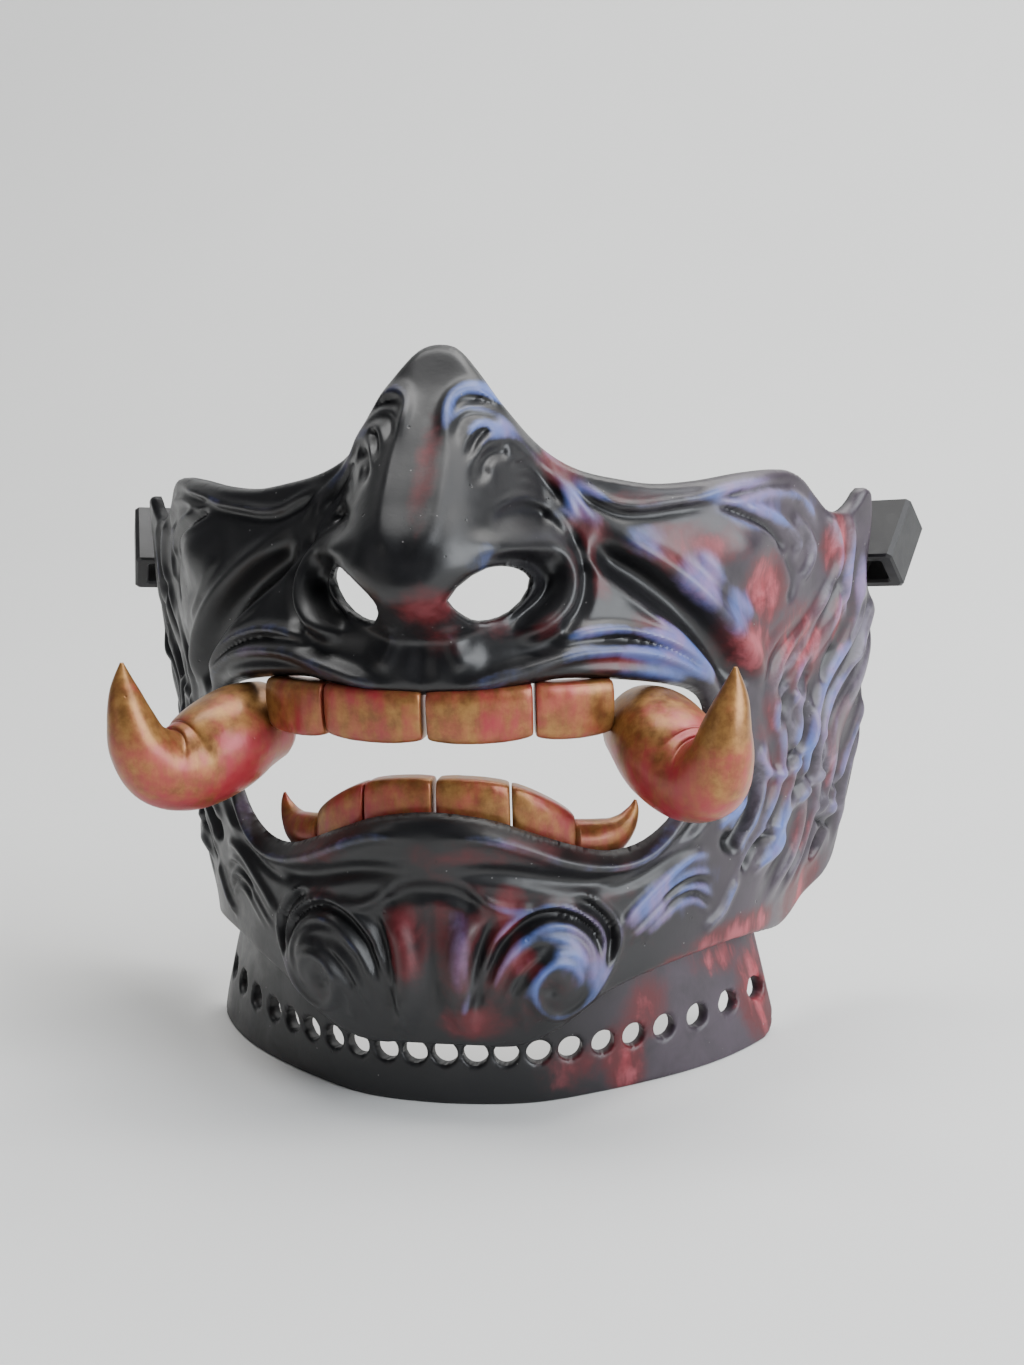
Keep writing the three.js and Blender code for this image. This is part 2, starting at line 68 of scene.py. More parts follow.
EDGE = [
    (0, 154.8), (4, 153.6), (8, 149), (12, 143), (17, 136.5), (22, 132), (27, 129), (33, 127.2),
    (40, 125.8), (48, 126), (57, 127), (66, 127), (71, 125), (75, 121), (79, 117.2), (84, 116),
    (87.5, 117.5), (90.5, 120.2), (92.8, 120), (94, 117), (94.2, 111), (94.2, 104.5), (95.4, 98.8), (99.2, 94.4), (103, 89.5), (105, 84),
    (107, 72), (109.5, 60), (110.5, 48), (110.5, 38), (110, 30), (108, 25.4), (103, 23.8), (96, 23.9), (88, 23.8),
    (80, 23.2), (72, 23), (64, 24.8), (58, 26), (52, 26.6), (44, 26.8), (37, 26.7), (31, 26), (26, 24.6),
    (22, 22), (18.5, 18.6), (15, 16), (11, 14.4), (5, 14.6), (0, 14.6)]
MOUTH = [
    (0, 87.4), (7, 87.7), (12, 88.3), (16, 89.2), (20, 89.6), (27, 88.6), (36, 86.4), (43, 83.4),
    (46, 79), (46.5, 72), (44, 65), (40.5, 60.5), (36.5, 56.4), (31.5, 53.6), (26, 53.4),
    (20, 56), (14, 59.4), (8, 62.4), (0, 63.8)]
NOSTRIL = [
    (4.5, 107.4), (5.8, 109.8), (7.7, 112), (9.6, 113), (11.7, 112.7), (13.8, 111.4), (15.3, 109.4),
    (15, 107.2), (13.6, 104.5), (11.7, 102.7), (9.4, 101.7), (7.2, 101.9), (5.7, 103.6), (4.8, 105.6)]
JAW_HOLE = (90.6, 36.5, 4.4, 3.2)    # angle, height, half width in degrees, half height

# Carved lines of one half, mirrored: name, half width left and right of travel,
# height (grooves negative), profile (r rounded, s sharp), path of (angle, height).
LINES = [
    ('bridge_edge', 2.2, 3.8, 0.9, 's', [(3.2, 146.1), (3.2, 142.3), (3.4, 137.9), (3.7, 133.6), (3.6, 129.5), (3.2, 123.9), (2.2, 119.2), (0.9, 115.1)]),
    ('nose_fold_1', 2, 1.6, 1.6, 'r', [(3.8, 136.5), (3.4, 141.2), (3.8, 144.6), (5.8, 146.2), (8.8, 145.8), (12.2, 143.8), (15.8, 140.2), (19, 135.6), (22, 131.5), (24.5, 128)]),
    ('nose_groove_1', 1.3, 1.3, -1.4, 'r', [(5.1, 142.2), (6.3, 143.7), (9.4, 143.2), (12.8, 140.9), (16.5, 137.1), (19.7, 133.2)]),
    ('nose_fold_2', 1.2, 1, 1.3, 's', [(4.6, 137.9), (5.2, 141.2), (6.9, 142.4), (10.1, 141.6), (13.1, 139.4), (16.3, 135.5), (19.9, 130.9), (22.9, 126.9), (25.6, 123), (27.1, 119.5)]),
    ('nose_groove_2', 1.1, 1.1, -1.2, 'r', [(5.1, 136.4), (5.3, 139.7), (6.7, 141.3), (9.5, 140.9), (12.1, 139.3)]),
    ('nose_fold_3', 1.3, 1.3, 1.2, 'r', [(6.7, 134.9), (7, 137.4), (8.2, 139.2), (10.7, 139), (14.1, 137.2), (17.5, 133.1), (20.9, 128.5), (23.6, 123.8), (25.1, 120)]),
    ('nose_slit_3', 0.9, 0.9, -2, 'r', [(7.2, 133.4), (7.5, 135.5), (8.3, 137.3), (9.8, 138.3)]),
    ('nose_fold_4', 0.9, 0.9, 1.1, 's', [(7.8, 130.5), (7.9, 133.4), (8.9, 136), (11, 137), (13.7, 136.6), (16.3, 134.7)]),
    ('nose_pocket_4', 2, 2, -2.2, 'r', [(9.2, 128.5), (8.6, 131.1), (9.5, 133.2), (11.2, 133.9), (12.9, 133.5)]),
    ('nose_fold_5', 0.8, 0.8, 0.9, 's', [(8.2, 132.6), (9.6, 134.7), (11.9, 134.5), (14.3, 133.5)]),
    ('nose_fold_6', 0.9, 0.9, 1, 's', [(12.4, 131), (14.2, 132.3), (16.9, 131.4), (19.7, 128.6), (22, 125.4), (23.7, 122.3), (24.7, 119.6)]),
    ('nose_groove_6', 0.8, 0.8, -1, 'r', [(13.1, 130.5), (14.9, 131), (17.2, 129.8), (20.2, 126.3), (22.7, 122.7)]),
    ('nose_fold_7', 0.8, 0.8, 0.9, 's', [(13.3, 129.1), (16, 129.8), (18.3, 127.9), (20.5, 125.1), (22.3, 122), (23.9, 118.8)]),
    ('nose_groove_7', 0.7, 0.7, -0.9, 'r', [(13.7, 128.3), (15.5, 128.8), (17.8, 127.1), (20, 124.1)]),
    ('nose_fold_8', 0.9, 0.9, 0.9, 's', [(13.9, 127.1), (16.2, 127.7), (18.5, 126), (20.6, 123.2), (22.3, 119.6)]),
    ('wing_border', 0.9, 0.9, 1.2, 's', [(10.5, 123.5), (12.2, 124.8), (14.5, 125.2), (17.5, 124), (19.7, 121.9), (21.6, 119.3), (22.6, 116.3)]),
    ('wing_hollow', 2.6, 2.6, -2, 'r', [(10, 120.8), (12.1, 121.7), (14.6, 121.8), (17.6, 121.1), (19.8, 119.8)]),
    ('wing_bulge', 3.6, 3.6, 3.4, 'r', [(7, 116.7), (9.4, 117.4), (12.5, 117), (16.3, 116.5), (19.5, 115.6), (21.4, 113.3), (22, 109.7), (21.2, 105.7), (19.3, 102.5), (16.2, 100.2), (12.8, 99)]),
    ('wing_crease', 2, 2, -1.8, 'r', [(23.1, 117.7), (24.2, 113.6), (24.5, 109.1), (23.6, 105.1), (22, 101.9), (19.1, 99.6)]),
    ('nostril_bowl', 2.2, 2.2, -2.5, 'r', [(9.9, 114), (13, 113.3), (16, 111.7), (18.2, 108.1), (17.1, 104.9), (14.6, 102.4), (11.7, 100.8)]),
    ('rim_ridge', 1.6, 1.6, 1.3, 'r', [(24.3, 127.1), (27.9, 124.7), (31.7, 122.1), (35.8, 121.5), (40.1, 122), (45.8, 122.5), (49.6, 123.8), (55.6, 124.9), (62.2, 125.4)]),
    ('rim_groove', 1.8, 1.8, -1, 'r', [(24.9, 124.9), (28.4, 122.6), (32.7, 120.4), (37.7, 120.1), (42.9, 120.7), (48.4, 121.5)]),
    ('corner_ridge', 1.1, 1.1, 1.1, 's', [(47.6, 122.3), (52.3, 121.5), (56.9, 122.3), (62, 122.8), (68, 121.3), (72.5, 117.6), (74.8, 113.7)]),
    ('corner_groove', 0.8, 0.8, -0.7, 'r', [(50, 122.4), (54.4, 122.8), (60.3, 123.6), (66.6, 122.9)]),
    ('bag_groove', 1.2, 1.2, -1.6, 'r', [(49.6, 121.1), (54, 118.5), (59.7, 115.4), (62.9, 112.4), (64.5, 109.6)]),
    ('bag_ridge_in', 0.9, 0.9, 0.8, 's', [(49.2, 120), (53.8, 117.3), (59, 114.4), (62.2, 111.7), (62.7, 110.1)]),
    ('bag_ridge_out', 1.2, 1.2, 1.2, 'r', [(54.2, 120.7), (60.5, 118.2), (65.5, 114.8), (68.8, 111), (66.7, 108.5)]),
    ('bag_ridge_3', 1.6, 1.6, 1.2, 'r', [(67.1, 116.8), (71.6, 112.5), (73.2, 108.6), (71.6, 105.2), (68.6, 103)]),
    ('bag_crease', 1.2, 1.2, -0.8, 'r', [(64.5, 109.3), (67, 105), (66.9, 101.7), (65, 98.9)]),
    ('cheek_edge', 5, 2.2, 1.8, 's', [(27.4, 116.1), (32.3, 113.3), (36.8, 109.9), (40.6, 106.2), (44.3, 102.5), (47.8, 98), (51.5, 92.9), (55.9, 86.9), (59.9, 81.3)]),
    ('cheek_line', 1.2, 1.2, 0.5, 's', [(44.4, 112.4), (47.9, 107.1), (52.1, 101.8), (56.3, 96.4)]),
    ('cheek_valley', 6, 6, -4.5, 'r', [(26, 115.3), (30.5, 110.5), (34.9, 106.8), (39.2, 102.6), (43.2, 97.7), (46.9, 92.7), (51.4, 86.2), (54.5, 81.4)]),
    ('snarl_ridge', 1, 1.4, 1.3, 's', [(22.8, 115.5), (26.4, 110.2), (29.9, 106.3), (33.8, 101.8), (38.4, 97.4), (41.8, 93.1), (44.8, 89.1), (47.7, 84.8)]),
    ('cheek_side', 1.4, 1.4, 0.8, 's', [(80.4, 102.2), (76.4, 96.3), (71.1, 89.3), (67, 84.7), (61.3, 82.1)]),
    ('lip_roll_1', 2, 2, 1.8, 'r', [(3.2, 89), (6.9, 89.9), (14.6, 92.7), (22.8, 94.8), (30.9, 94.1), (37.6, 91.4), (43.4, 87), (47.6, 82.5)]),
    ('lip_roll_2', 1.6, 1.6, 1.6, 'r', [(18, 97.1), (23.2, 98.7), (29.5, 98.6), (36.9, 95.5), (43.2, 89.9), (48, 84.8)]),
    ('lip_groove_2', 0.8, 0.8, -0.9, 'r', [(23, 96.4), (30.1, 96.2), (36.7, 93.5), (43.3, 88.2)]),
    ('lip_body', 2.5, 2.5, 0.8, 'r', [(2.3, 88), (9.9, 89.2), (16.9, 90.3), (25.2, 90.4), (34.5, 88.4), (42.3, 84.8)]),
    ('lip_hollow', 4, 4, -1, 'r', [(7, 95.2), (13.1, 95.9), (19.7, 98.5)]),
    ('philtrum', 3.5, 3.5, -0.8, 'r', [(0.5, 102.1), (-0.2, 95.4), (0.3, 90)]),
    ('philtrum_ridge', 2.5, 2.5, 0.9, 'r', [(3.9, 101.2), (4.7, 96.3), (6.2, 93.2)]),
    ('low_lip', 2.2, 2.2, 1.3, 'r', [(0.9, 59.4), (7.8, 59.3), (13.9, 56.4), (19.5, 52.9), (25.6, 50.7), (31.4, 50.6), (36, 54.3), (39.4, 58.9), (43.5, 64.9)]),
    ('low_lip_groove', 2.6, 2.6, -1.6, 'r', [(1.5, 52.3), (10.7, 51.5), (20.3, 48.3), (27.6, 47.2), (33.6, 48.8), (39.5, 52.8), (43.6, 57.8), (46.5, 63)]),
    ('corner_sweep', 1.3, 1.3, 1.3, 's', [(24.4, 46.8), (30.3, 47.9), (36.2, 50.8), (40.8, 53.1), (44.2, 55.3)]),
    ('chin_bulge', 3.2, 3.2, 1.8, 'r', [(5.8, 42.9), (4.2, 37), (3.7, 30.5), (3.8, 23.4), (5.2, 17.3)]),
    ('chin_groove', 2.2, 2.2, -1, 'r', [(-1.3, 49.1), (-0.7, 38.5), (-0.2, 29.4), (-0.1, 20.6)]),
    ('chin_side_groove', 1.5, 1.5, -1.2, 'r', [(8.7, 42.8), (7, 37), (6.3, 30.5), (5.9, 22.9)]),
    ('chin_top_groove', 3, 3, -1.2, 'r', [(-2.3, 47.9), (2.7, 47.9), (7.1, 44.7)]),
    ('chin_shelf', 1.2, 1.2, 1.2, 's', [(5.2, 48.8), (8.3, 45.6), (11.2, 44), (14.5, 44.4)]),
    ('whorl_1', 0.9, 0.9, 1.3, 's', [(6.3, 29.7), (7.6, 35.1), (10, 39.9), (12.8, 43), (16.2, 44.3), (19.3, 43.6), (22.3, 41.2), (24.3, 37.7), (24.7, 33.6), (23.8, 29.7), (22.3, 25.8), (20.3, 22.7), (17.8, 21.4), (15.7, 22.6), (14.3, 25.4), (14, 28.6), (15.1, 32), (17.3, 33.5), (19.5, 32.5), (20.7, 29.8), (20.2, 27.3), (18.5, 26.5)]),
    ('whorl_2', 0.9, 0.9, 1.2, 's', [(8.1, 24.6), (8.9, 30.4), (10.8, 35.5), (13.7, 39.2), (16.8, 40.5), (20, 39.8), (22.4, 36.9), (23.1, 32.9), (22.4, 29), (20.8, 25.2)]),
    ('whorl_3', 0.8, 0.8, 1, 's', [(9.4, 21.6), (10, 26.1), (11.9, 30.9), (14.2, 34.4), (17.1, 35.4), (19.7, 34.8), (21.3, 32.5), (21.6, 29.6)]),
    ('whorl_4', 0.7, 0.7, 0.8, 's', [(12.8, 19.8), (12, 23.8), (12.6, 27.4), (14.2, 31), (15.8, 32.9)]),
    ('whorl_5', 0.7, 0.7, 0.8, 's', [(10.3, 33.7), (12.7, 37.2), (15.7, 38.4), (18.9, 37.6), (21, 35.2), (21.9, 31.6)]),
    ('whorl_groove_1', 1.2, 1.2, -1.3, 'r', [(7.3, 29), (8.7, 34.4), (11.3, 39.2), (14.7, 42.3), (18, 42.5), (21, 40.4), (23.5, 36.9), (24, 33.1)]),
    ('whorl_groove_2', 1, 1, -1, 'r', [(11.1, 26.8), (12.5, 31.3), (15, 34.6), (17.3, 36.2)]),
    ('whorl_groove_3', 1.2, 1.2, -1.6, 'r', [(20.6, 45.2), (23.7, 42.5), (26, 38.6), (26.1, 34.2), (24.8, 30.5)]),
    ('whorl_outer', 1, 1, 1.3, 's', [(20.4, 46.2), (23.5, 44), (26.1, 40.3), (27.3, 36.2), (26.3, 32.1), (24.5, 28.8), (22.6, 25), (20.6, 21.8)]),
    ('whorl_left', 1.2, 1.2, 1.2, 's', [(8.8, 37), (7.3, 33.1), (6.2, 29), (4.8, 24.6), (4.2, 21.8)]),
    ('flow_1', 1.2, 1.2, 1.1, 'r', [(45.7, 47.8), (42.5, 49.1), (38.6, 47.5), (34.6, 44.3), (30.7, 40.9), (27.2, 37.1)]),
    ('flow_2', 0.8, 0.8, 0.9, 's', [(46.5, 43.5), (43.2, 45.3), (39.2, 44.8), (35, 42.2), (31, 38.9), (27.5, 35.6)]),
    ('flow_3', 0.8, 0.8, 0.9, 's', [(46.8, 38.3), (43.9, 41.5), (40.2, 42.3), (36.3, 40.4), (32.2, 37.2), (28.3, 34)]),
    ('flow_4', 0.9, 0.9, 0.8, 's', [(46.3, 35.6), (42.9, 39.2), (39.2, 39.6), (35.3, 37.2), (31.2, 34.1)]),
    ('flow_groove_1', 0.7, 0.7, -0.9, 'r', [(46.6, 42.5), (43.3, 44), (39.2, 43.4), (35, 40.8)]),
    ('flow_groove_2', 0.7, 0.7, -0.9, 'r', [(46.2, 37.3), (42.9, 40.6), (39.2, 40.9), (35.4, 39.1)]),
    ('flame_1g', 2, 2, -1.6, 'r', [(74.7, 83.9), (72.1, 81.3), (69.8, 77.7)]),
    ('flame_2g', 1.4, 1.4, -1.5, 'r', [(84.3, 85.5), (81.6, 82.3), (79.3, 77.6)]),
    ('flame_3r', 0.9, 0.9, 1, 's', [(67.5, 80.8), (64.6, 78.4), (62.8, 74.7), (63.4, 71)]),
    ('flame_3g', 1.4, 1.4, -1.5, 'r', [(65.3, 77.2), (64.1, 74.4), (64.8, 71.7)]),
    ('flame_4r', 0.9, 0.9, 1, 's', [(69.8, 79.2), (67.8, 76.1), (67.3, 72.7), (68.8, 69.3), (67.4, 66.5)]),
    ('flame_5g', 1.4, 1.4, -1.7, 'r', [(71.3, 75.9), (72.1, 71), (71, 66.1), (67.2, 62.6)]),
    ('flame_5r', 1, 1, 1.1, 's', [(74.2, 77.2), (75, 71.8), (74.5, 66.7), (70.9, 63), (65.5, 60.3)]),
    ('flame_6g', 1.2, 1.2, -1.6, 'r', [(92.8, 53.1), (98.2, 47.3), (96.5, 44)]),
    ('flame_6r', 1, 1, 1.1, 's', [(84.6, 61.8), (86.4, 55.7), (85.5, 50.5), (92.3, 45.2), (101.8, 42.6)]),
    ('flame_7g', 1.3, 1.3, -1.5, 'r', [(84.3, 47.3), (91.1, 42.2), (101.7, 37.7)]),
    ('flame_7r', 0.8, 0.8, 0.9, 's', [(79.8, 50.1), (86.6, 46), (95.9, 42.4), (103.9, 40.6)]),
    ('flame_8g', 2, 2, -2.2, 'r', [(57.4, 65.9), (57.6, 60.8), (56, 56.2), (53.5, 51.8), (50.9, 49.4), (48.4, 52.2)]),
    ('flame_8r', 0.9, 0.9, 1.1, 's', [(58.3, 64.6), (58.8, 58.5), (56.6, 53), (53.4, 48.7), (53.4, 45.6)]),
    ('flame_9r', 1, 1, 0.9, 's', [(54.4, 59.1), (52, 56.3), (48.5, 55.1), (47.5, 52.9)]),
    ('flame_10g', 1.3, 1.3, -1.7, 'r', [(63.7, 48.5), (59.1, 47.8), (55.9, 45.4), (54.3, 41.7)]),
    ('flame_10r', 0.8, 0.8, 1, 's', [(66.2, 48.8), (61.2, 49.5), (57, 48.2), (54.3, 45.3), (53, 42.1)]),
    ('flame_11r', 1.2, 1.2, 0.9, 'r', [(67.4, 47.6), (65.7, 44.4), (61.2, 43.2), (57, 41.4)]),
    ('flame_12r', 1.2, 1.2, 0.9, 'r', [(59.7, 69.3), (58.4, 66.6), (59.6, 63.4), (63.9, 61.2), (68.6, 61)]),
    ('flame_13r', 1.3, 1.3, 1, 'r', [(79, 67.6), (83.2, 61.6), (82.2, 57), (75.5, 54.7), (70.2, 52.1), (66.9, 49.9)]),
    ('flame_13g', 1.1, 1.1, -0.9, 'r', [(76, 66.3), (77.2, 60.7), (72.8, 57.2), (67.7, 54.9)]),
    ('flame_14r', 1.3, 1.3, 1, 'r', [(53, 41.6), (50.9, 37.6), (48.7, 34.1), (44.7, 32.2)]),
    ('ear_1r', 1.5, 1.5, 1, 'r', [(77.7, 116), (80.8, 110.8), (81.8, 105.2), (79.6, 100.2)]),
    ('ear_2r', 1.3, 1.3, 1.1, 'r', [(84.4, 115.7), (85.6, 108.9), (84.4, 102.6), (84.2, 97.1), (87.5, 90.9)]),
    ('ear_2g', 1, 1, -1, 'r', [(83.2, 101.7), (83.2, 97.3), (84.5, 92.6)]),
    ('ear_3r', 1.3, 1.3, 1, 'r', [(99.5, 94), (97.4, 88.7), (95.6, 83.3), (93.1, 78.8)]),
    ('ear_3g', 1, 1, -1, 'r', [(93.2, 95.3), (92, 89.9), (89.3, 85.4)]),]
# Rounded swellings of one half: centre angle and height, half sizes, height.
BUMPS = [
    ('cheek_apple', 53, 112.5, 15, 11, 2.8),
    ('whorl_boss', 17.2, 30.5, 13, 14, 2.4),
    ('whorl_pit', 16.5, 28.0, 2.4, 2.4, -1.2),
    ('hole_boss', 90.6, 36.5, 13, 8, 1.0),
    ('chin_pad', 0, 30, 9, 16, 0.8),
    ('nose_tip', 0, 107.8, 9.5, 8.5, 3.0),
]


# ------------------------------------------------------------------- curves
def knots(xk, y, x):
    """Smooth curve through unevenly spaced knots, rows of y."""
    xk, y = np.asarray(xk, float), np.asarray(y, float)
    h = np.diff(xk)
    col = (-1,) + (1,) * (y.ndim - 1)
    d = np.diff(y, axis=0) / h.reshape(col)
    m = np.empty_like(y)
    m[1:-1] = (d[:-1] * h[1:].reshape(col) + d[1:] * h[:-1].reshape(col)) / (h[:-1] + h[1:]).reshape(col)
    m[0], m[-1] = d[0], d[-1]
    x = np.clip(x, xk[0], xk[-1])
    i = np.clip(np.searchsorted(xk, x, side='right') - 1, 0, len(xk) - 2)
    t = ((x - xk[i]) / h[i]).reshape((-1,) + (1,) * (y.ndim - 1))
    hh = h[i].reshape(t.shape)
    return ((2 * t**3 - 3 * t**2 + 1) * y[i] + (t**3 - 2 * t**2 + t) * hh * m[i]
            + (-2 * t**3 + 3 * t**2) * y[i + 1] + (t**3 - t**2) * hh * m[i + 1])


def smooth(a, b, x):
    t = np.clip((x - a) / (b - a), 0, 1)
    return t * t * (3 - 2 * t)


MIRROR_ANGLE = np.concatenate([-FACE_ANGLE[2:0:-1], FACE_ANGLE])
MIRROR_R = np.concatenate([FACE_R[:, 2:0:-1], FACE_R], 1)


def face_radius(angle, z):
    a = np.abs(angle)
    rows = knots(FACE_Z, MIRROR_R, z)
    h = np.diff(MIRROR_ANGLE)
    d = np.diff(rows, axis=1) / h
    m = np.empty_like(rows)
    m[:, 1:-1] = (d[:, :-1] * h[1:] + d[:, 1:] * h[:-1]) / (h[:-1] + h[1:])
    m[:, 0], m[:, -1] = d[:, 0], d[:, -1]
    q = np.clip(a, MIRROR_ANGLE[0], MIRROR_ANGLE[-1])
    i = np.clip(np.searchsorted(MIRROR_ANGLE, q, side='right') - 1, 0, len(MIRROR_ANGLE) - 2)
    k = np.arange(len(a))
    t, hh = (q - MIRROR_ANGLE[i]) / h[i], h[i]
    return ((2 * t**3 - 3 * t**2 + 1) * rows[k, i] + (t**3 - 2 * t**2 + t) * hh * m[k, i]
            + (-2 * t**3 + 3 * t**2) * rows[k, i + 1] + (t**3 - t**2) * hh * m[k, i + 1])


def broad_radius(angle, z):
    r = face_radius(angle, z)
    v = knots(NOSE[:, 0], NOSE[:, 1:], z)
    rise = np.maximum(v[:, 0] - face_radius(np.zeros_like(z), z), 0)
    x = np.abs(r * np.sin(angle * DEG))
    g = 1 - smooth(0, 1, (x - 0.4 * v[:, 1]) / (v[:, 2] - 0.4 * v[:, 1]))
    return r + np.where(z > 96, rise * g * smooth(96, 101, z), 0)


def spline(points, steps, closed=False):
    """Catmull-Rom through 2-D or 3-D points."""
    p = np.asarray(points, float)
    n = len(p)
    out = []
    for i in range(n if closed else n - 1):
        if closed:
            p0, p1, p2, p3 = p[i - 1], p[i], p[(i + 1) % n], p[(i + 2) % n]
        else:
            p0, p1, p2, p3 = p[max(i - 1, 0)], p[i], p[i + 1], p[min(i + 2, n - 1)]
        for t in np.arange(steps) / steps:
            out.append(0.5 * (2 * p1 + (p2 - p0) * t + (2 * p0 - 5 * p1 + 4 * p2 - p3) * t**2
                              + (3 * p1 - p0 - 3 * p2 + p3) * t**3))
    if not closed:
        out.append(p[-1])
    return np.array(out)


def carve(angle, z):
    """Height of the carving over the broad form, split into wide folds, ridges and grooves."""
    a = np.abs(angle)
    u = a * MM_PER_DEG
    wide, ridge, groove = np.zeros_like(a), np.zeros_like(a), np.zeros_like(a)
    for name, wl, wr, height, profile, path in LINES:
        flank = name.startswith(('flame', 'ear'))
        grow = 1.55 if flank else 1.3 if max(wl, wr) < 1.5 else 1.1
        wl, wr = max(wl * grow, 1.1), max(wr * grow, 1.1)
        height *= 1.25 if flank else 1.15
        line = spline([(p[0] * MM_PER_DEG, p[1]) for p in path], 4)
        reach = max(wl, wr)
        near = np.nonzero((u > line[:, 0].min() - reach) & (u < line[:, 0].max() + reach)
                          & (z > line[:, 1].min() - reach) & (z < line[:, 1].max() + reach))[0]
        if not len(near):
            continue
        pu, pz = u[near], z[near]
        best = np.full(len(near), 1e9)
        side, along = np.zeros(len(near)), np.zeros(len(near))
        length = np.concatenate([[0], np.cumsum(np.hypot(*np.diff(line, axis=0).T))])
        for k in range(len(line) - 1):
            x0, y0 = line[k]
            ex, ey = line[k + 1] - line[k]
            ll = ex * ex + ey * ey
            if ll < 1e-9:
                continue
            t = np.clip(((pu - x0) * ex + (pz - y0) * ey) / ll, 0, 1)
            dx, dy = pu - x0 - t * ex, pz - y0 - t * ey
            d = np.hypot(dx, dy)
            hit = d < best
            best = np.where(hit, d, best)
            side = np.where(hit, ex * dy - ey * dx, side)
            along = np.where(hit, (length[k] + t * math.sqrt(ll)) / length[-1], along)
        w = np.where(side > 0, wl, wr)
        t = np.clip(best / w, 0, 1)
        shape = np.cos(t * math.pi / 2)**2 if profile == 'r' else 0.5 * np.cos(t * math.pi / 2)**2 + 0.5 * (1 - t)**1.3 * (1 + 0.3 * t)
        taper = smooth(-0.03, 0.16, along) * smooth(-0.03, 0.16, 1 - along)
        value = height * shape * taper
        if reach >= 3.4:
            wide[near] += value
        elif height > 0:
            ridge[near] = np.maximum(ridge[near], value) + 0.25 * np.minimum(ridge[near], value)
        else:
            groove[near] = np.minimum(groove[near], value) + 0.25 * np.maximum(groove[near], value)
    for name, ca, cz, ru, rz, height in BUMPS:
        d = np.hypot((u - ca * MM_PER_DEG) / ru, (z - cz) / rz)
        wide += np.where(d < 1, height * np.cos(np.clip(d, 0, 1) * math.pi / 2)**2, 0)
    return wide, ridge, groove


def place(angle, z, r):
    depth = -r * np.cos(angle * DEG)
    past = np.maximum(depth - FLANK_FROM, 0)
    pull = (FLANK_DRAW + FLANK_JAW * (1 - smooth(35, 105, z))) * past**2 / (past + FLANK_EASE)
    return np.stack([r * np.sin(angle * DEG), AXIS_Y + depth - pull, z + (FLANK_EYE - z) * FLANK_LIFT * pull], -1)


# ------------------------------------------------------------------ meshing
def nearest_on(loops, x, y):
    best, bx, by = np.full(len(x), 1e9), np.zeros(len(x)), np.zeros(len(x))
    for loop in loops:
        nxt = np.roll(loop, -1, 0)
        for (x0, y0), (x1, y1) in zip(loop, nxt):
            ex, ey = x1 - x0, y1 - y0
            ll = ex * ex + ey * ey
            if ll < 1e-12:
                continue
            t = np.clip(((x - x0) * ex + (y - y0) * ey) / ll, 0, 1)
            px, py = x0 + t * ex, y0 + t * ey
            d = np.hypot(x - px, y - py)
            hit = d < best
            best = np.where(hit, d, best)
            bx, by = np.where(hit, px, bx), np.where(hit, py, by)
    return best, bx, by


def inside(loops, x, y):
    odd = np.zeros(len(x), bool)
    for loop in loops:
        nxt = np.roll(loop, -1, 0)
        for (x0, y0), (x1, y1) in zip(loop, nxt):
            if y0 == y1:
                continue
            odd ^= ((y0 > y) != (y1 > y)) & (x < (x1 - x0) * (y - y0) / (y1 - y0) + x0)
    return odd


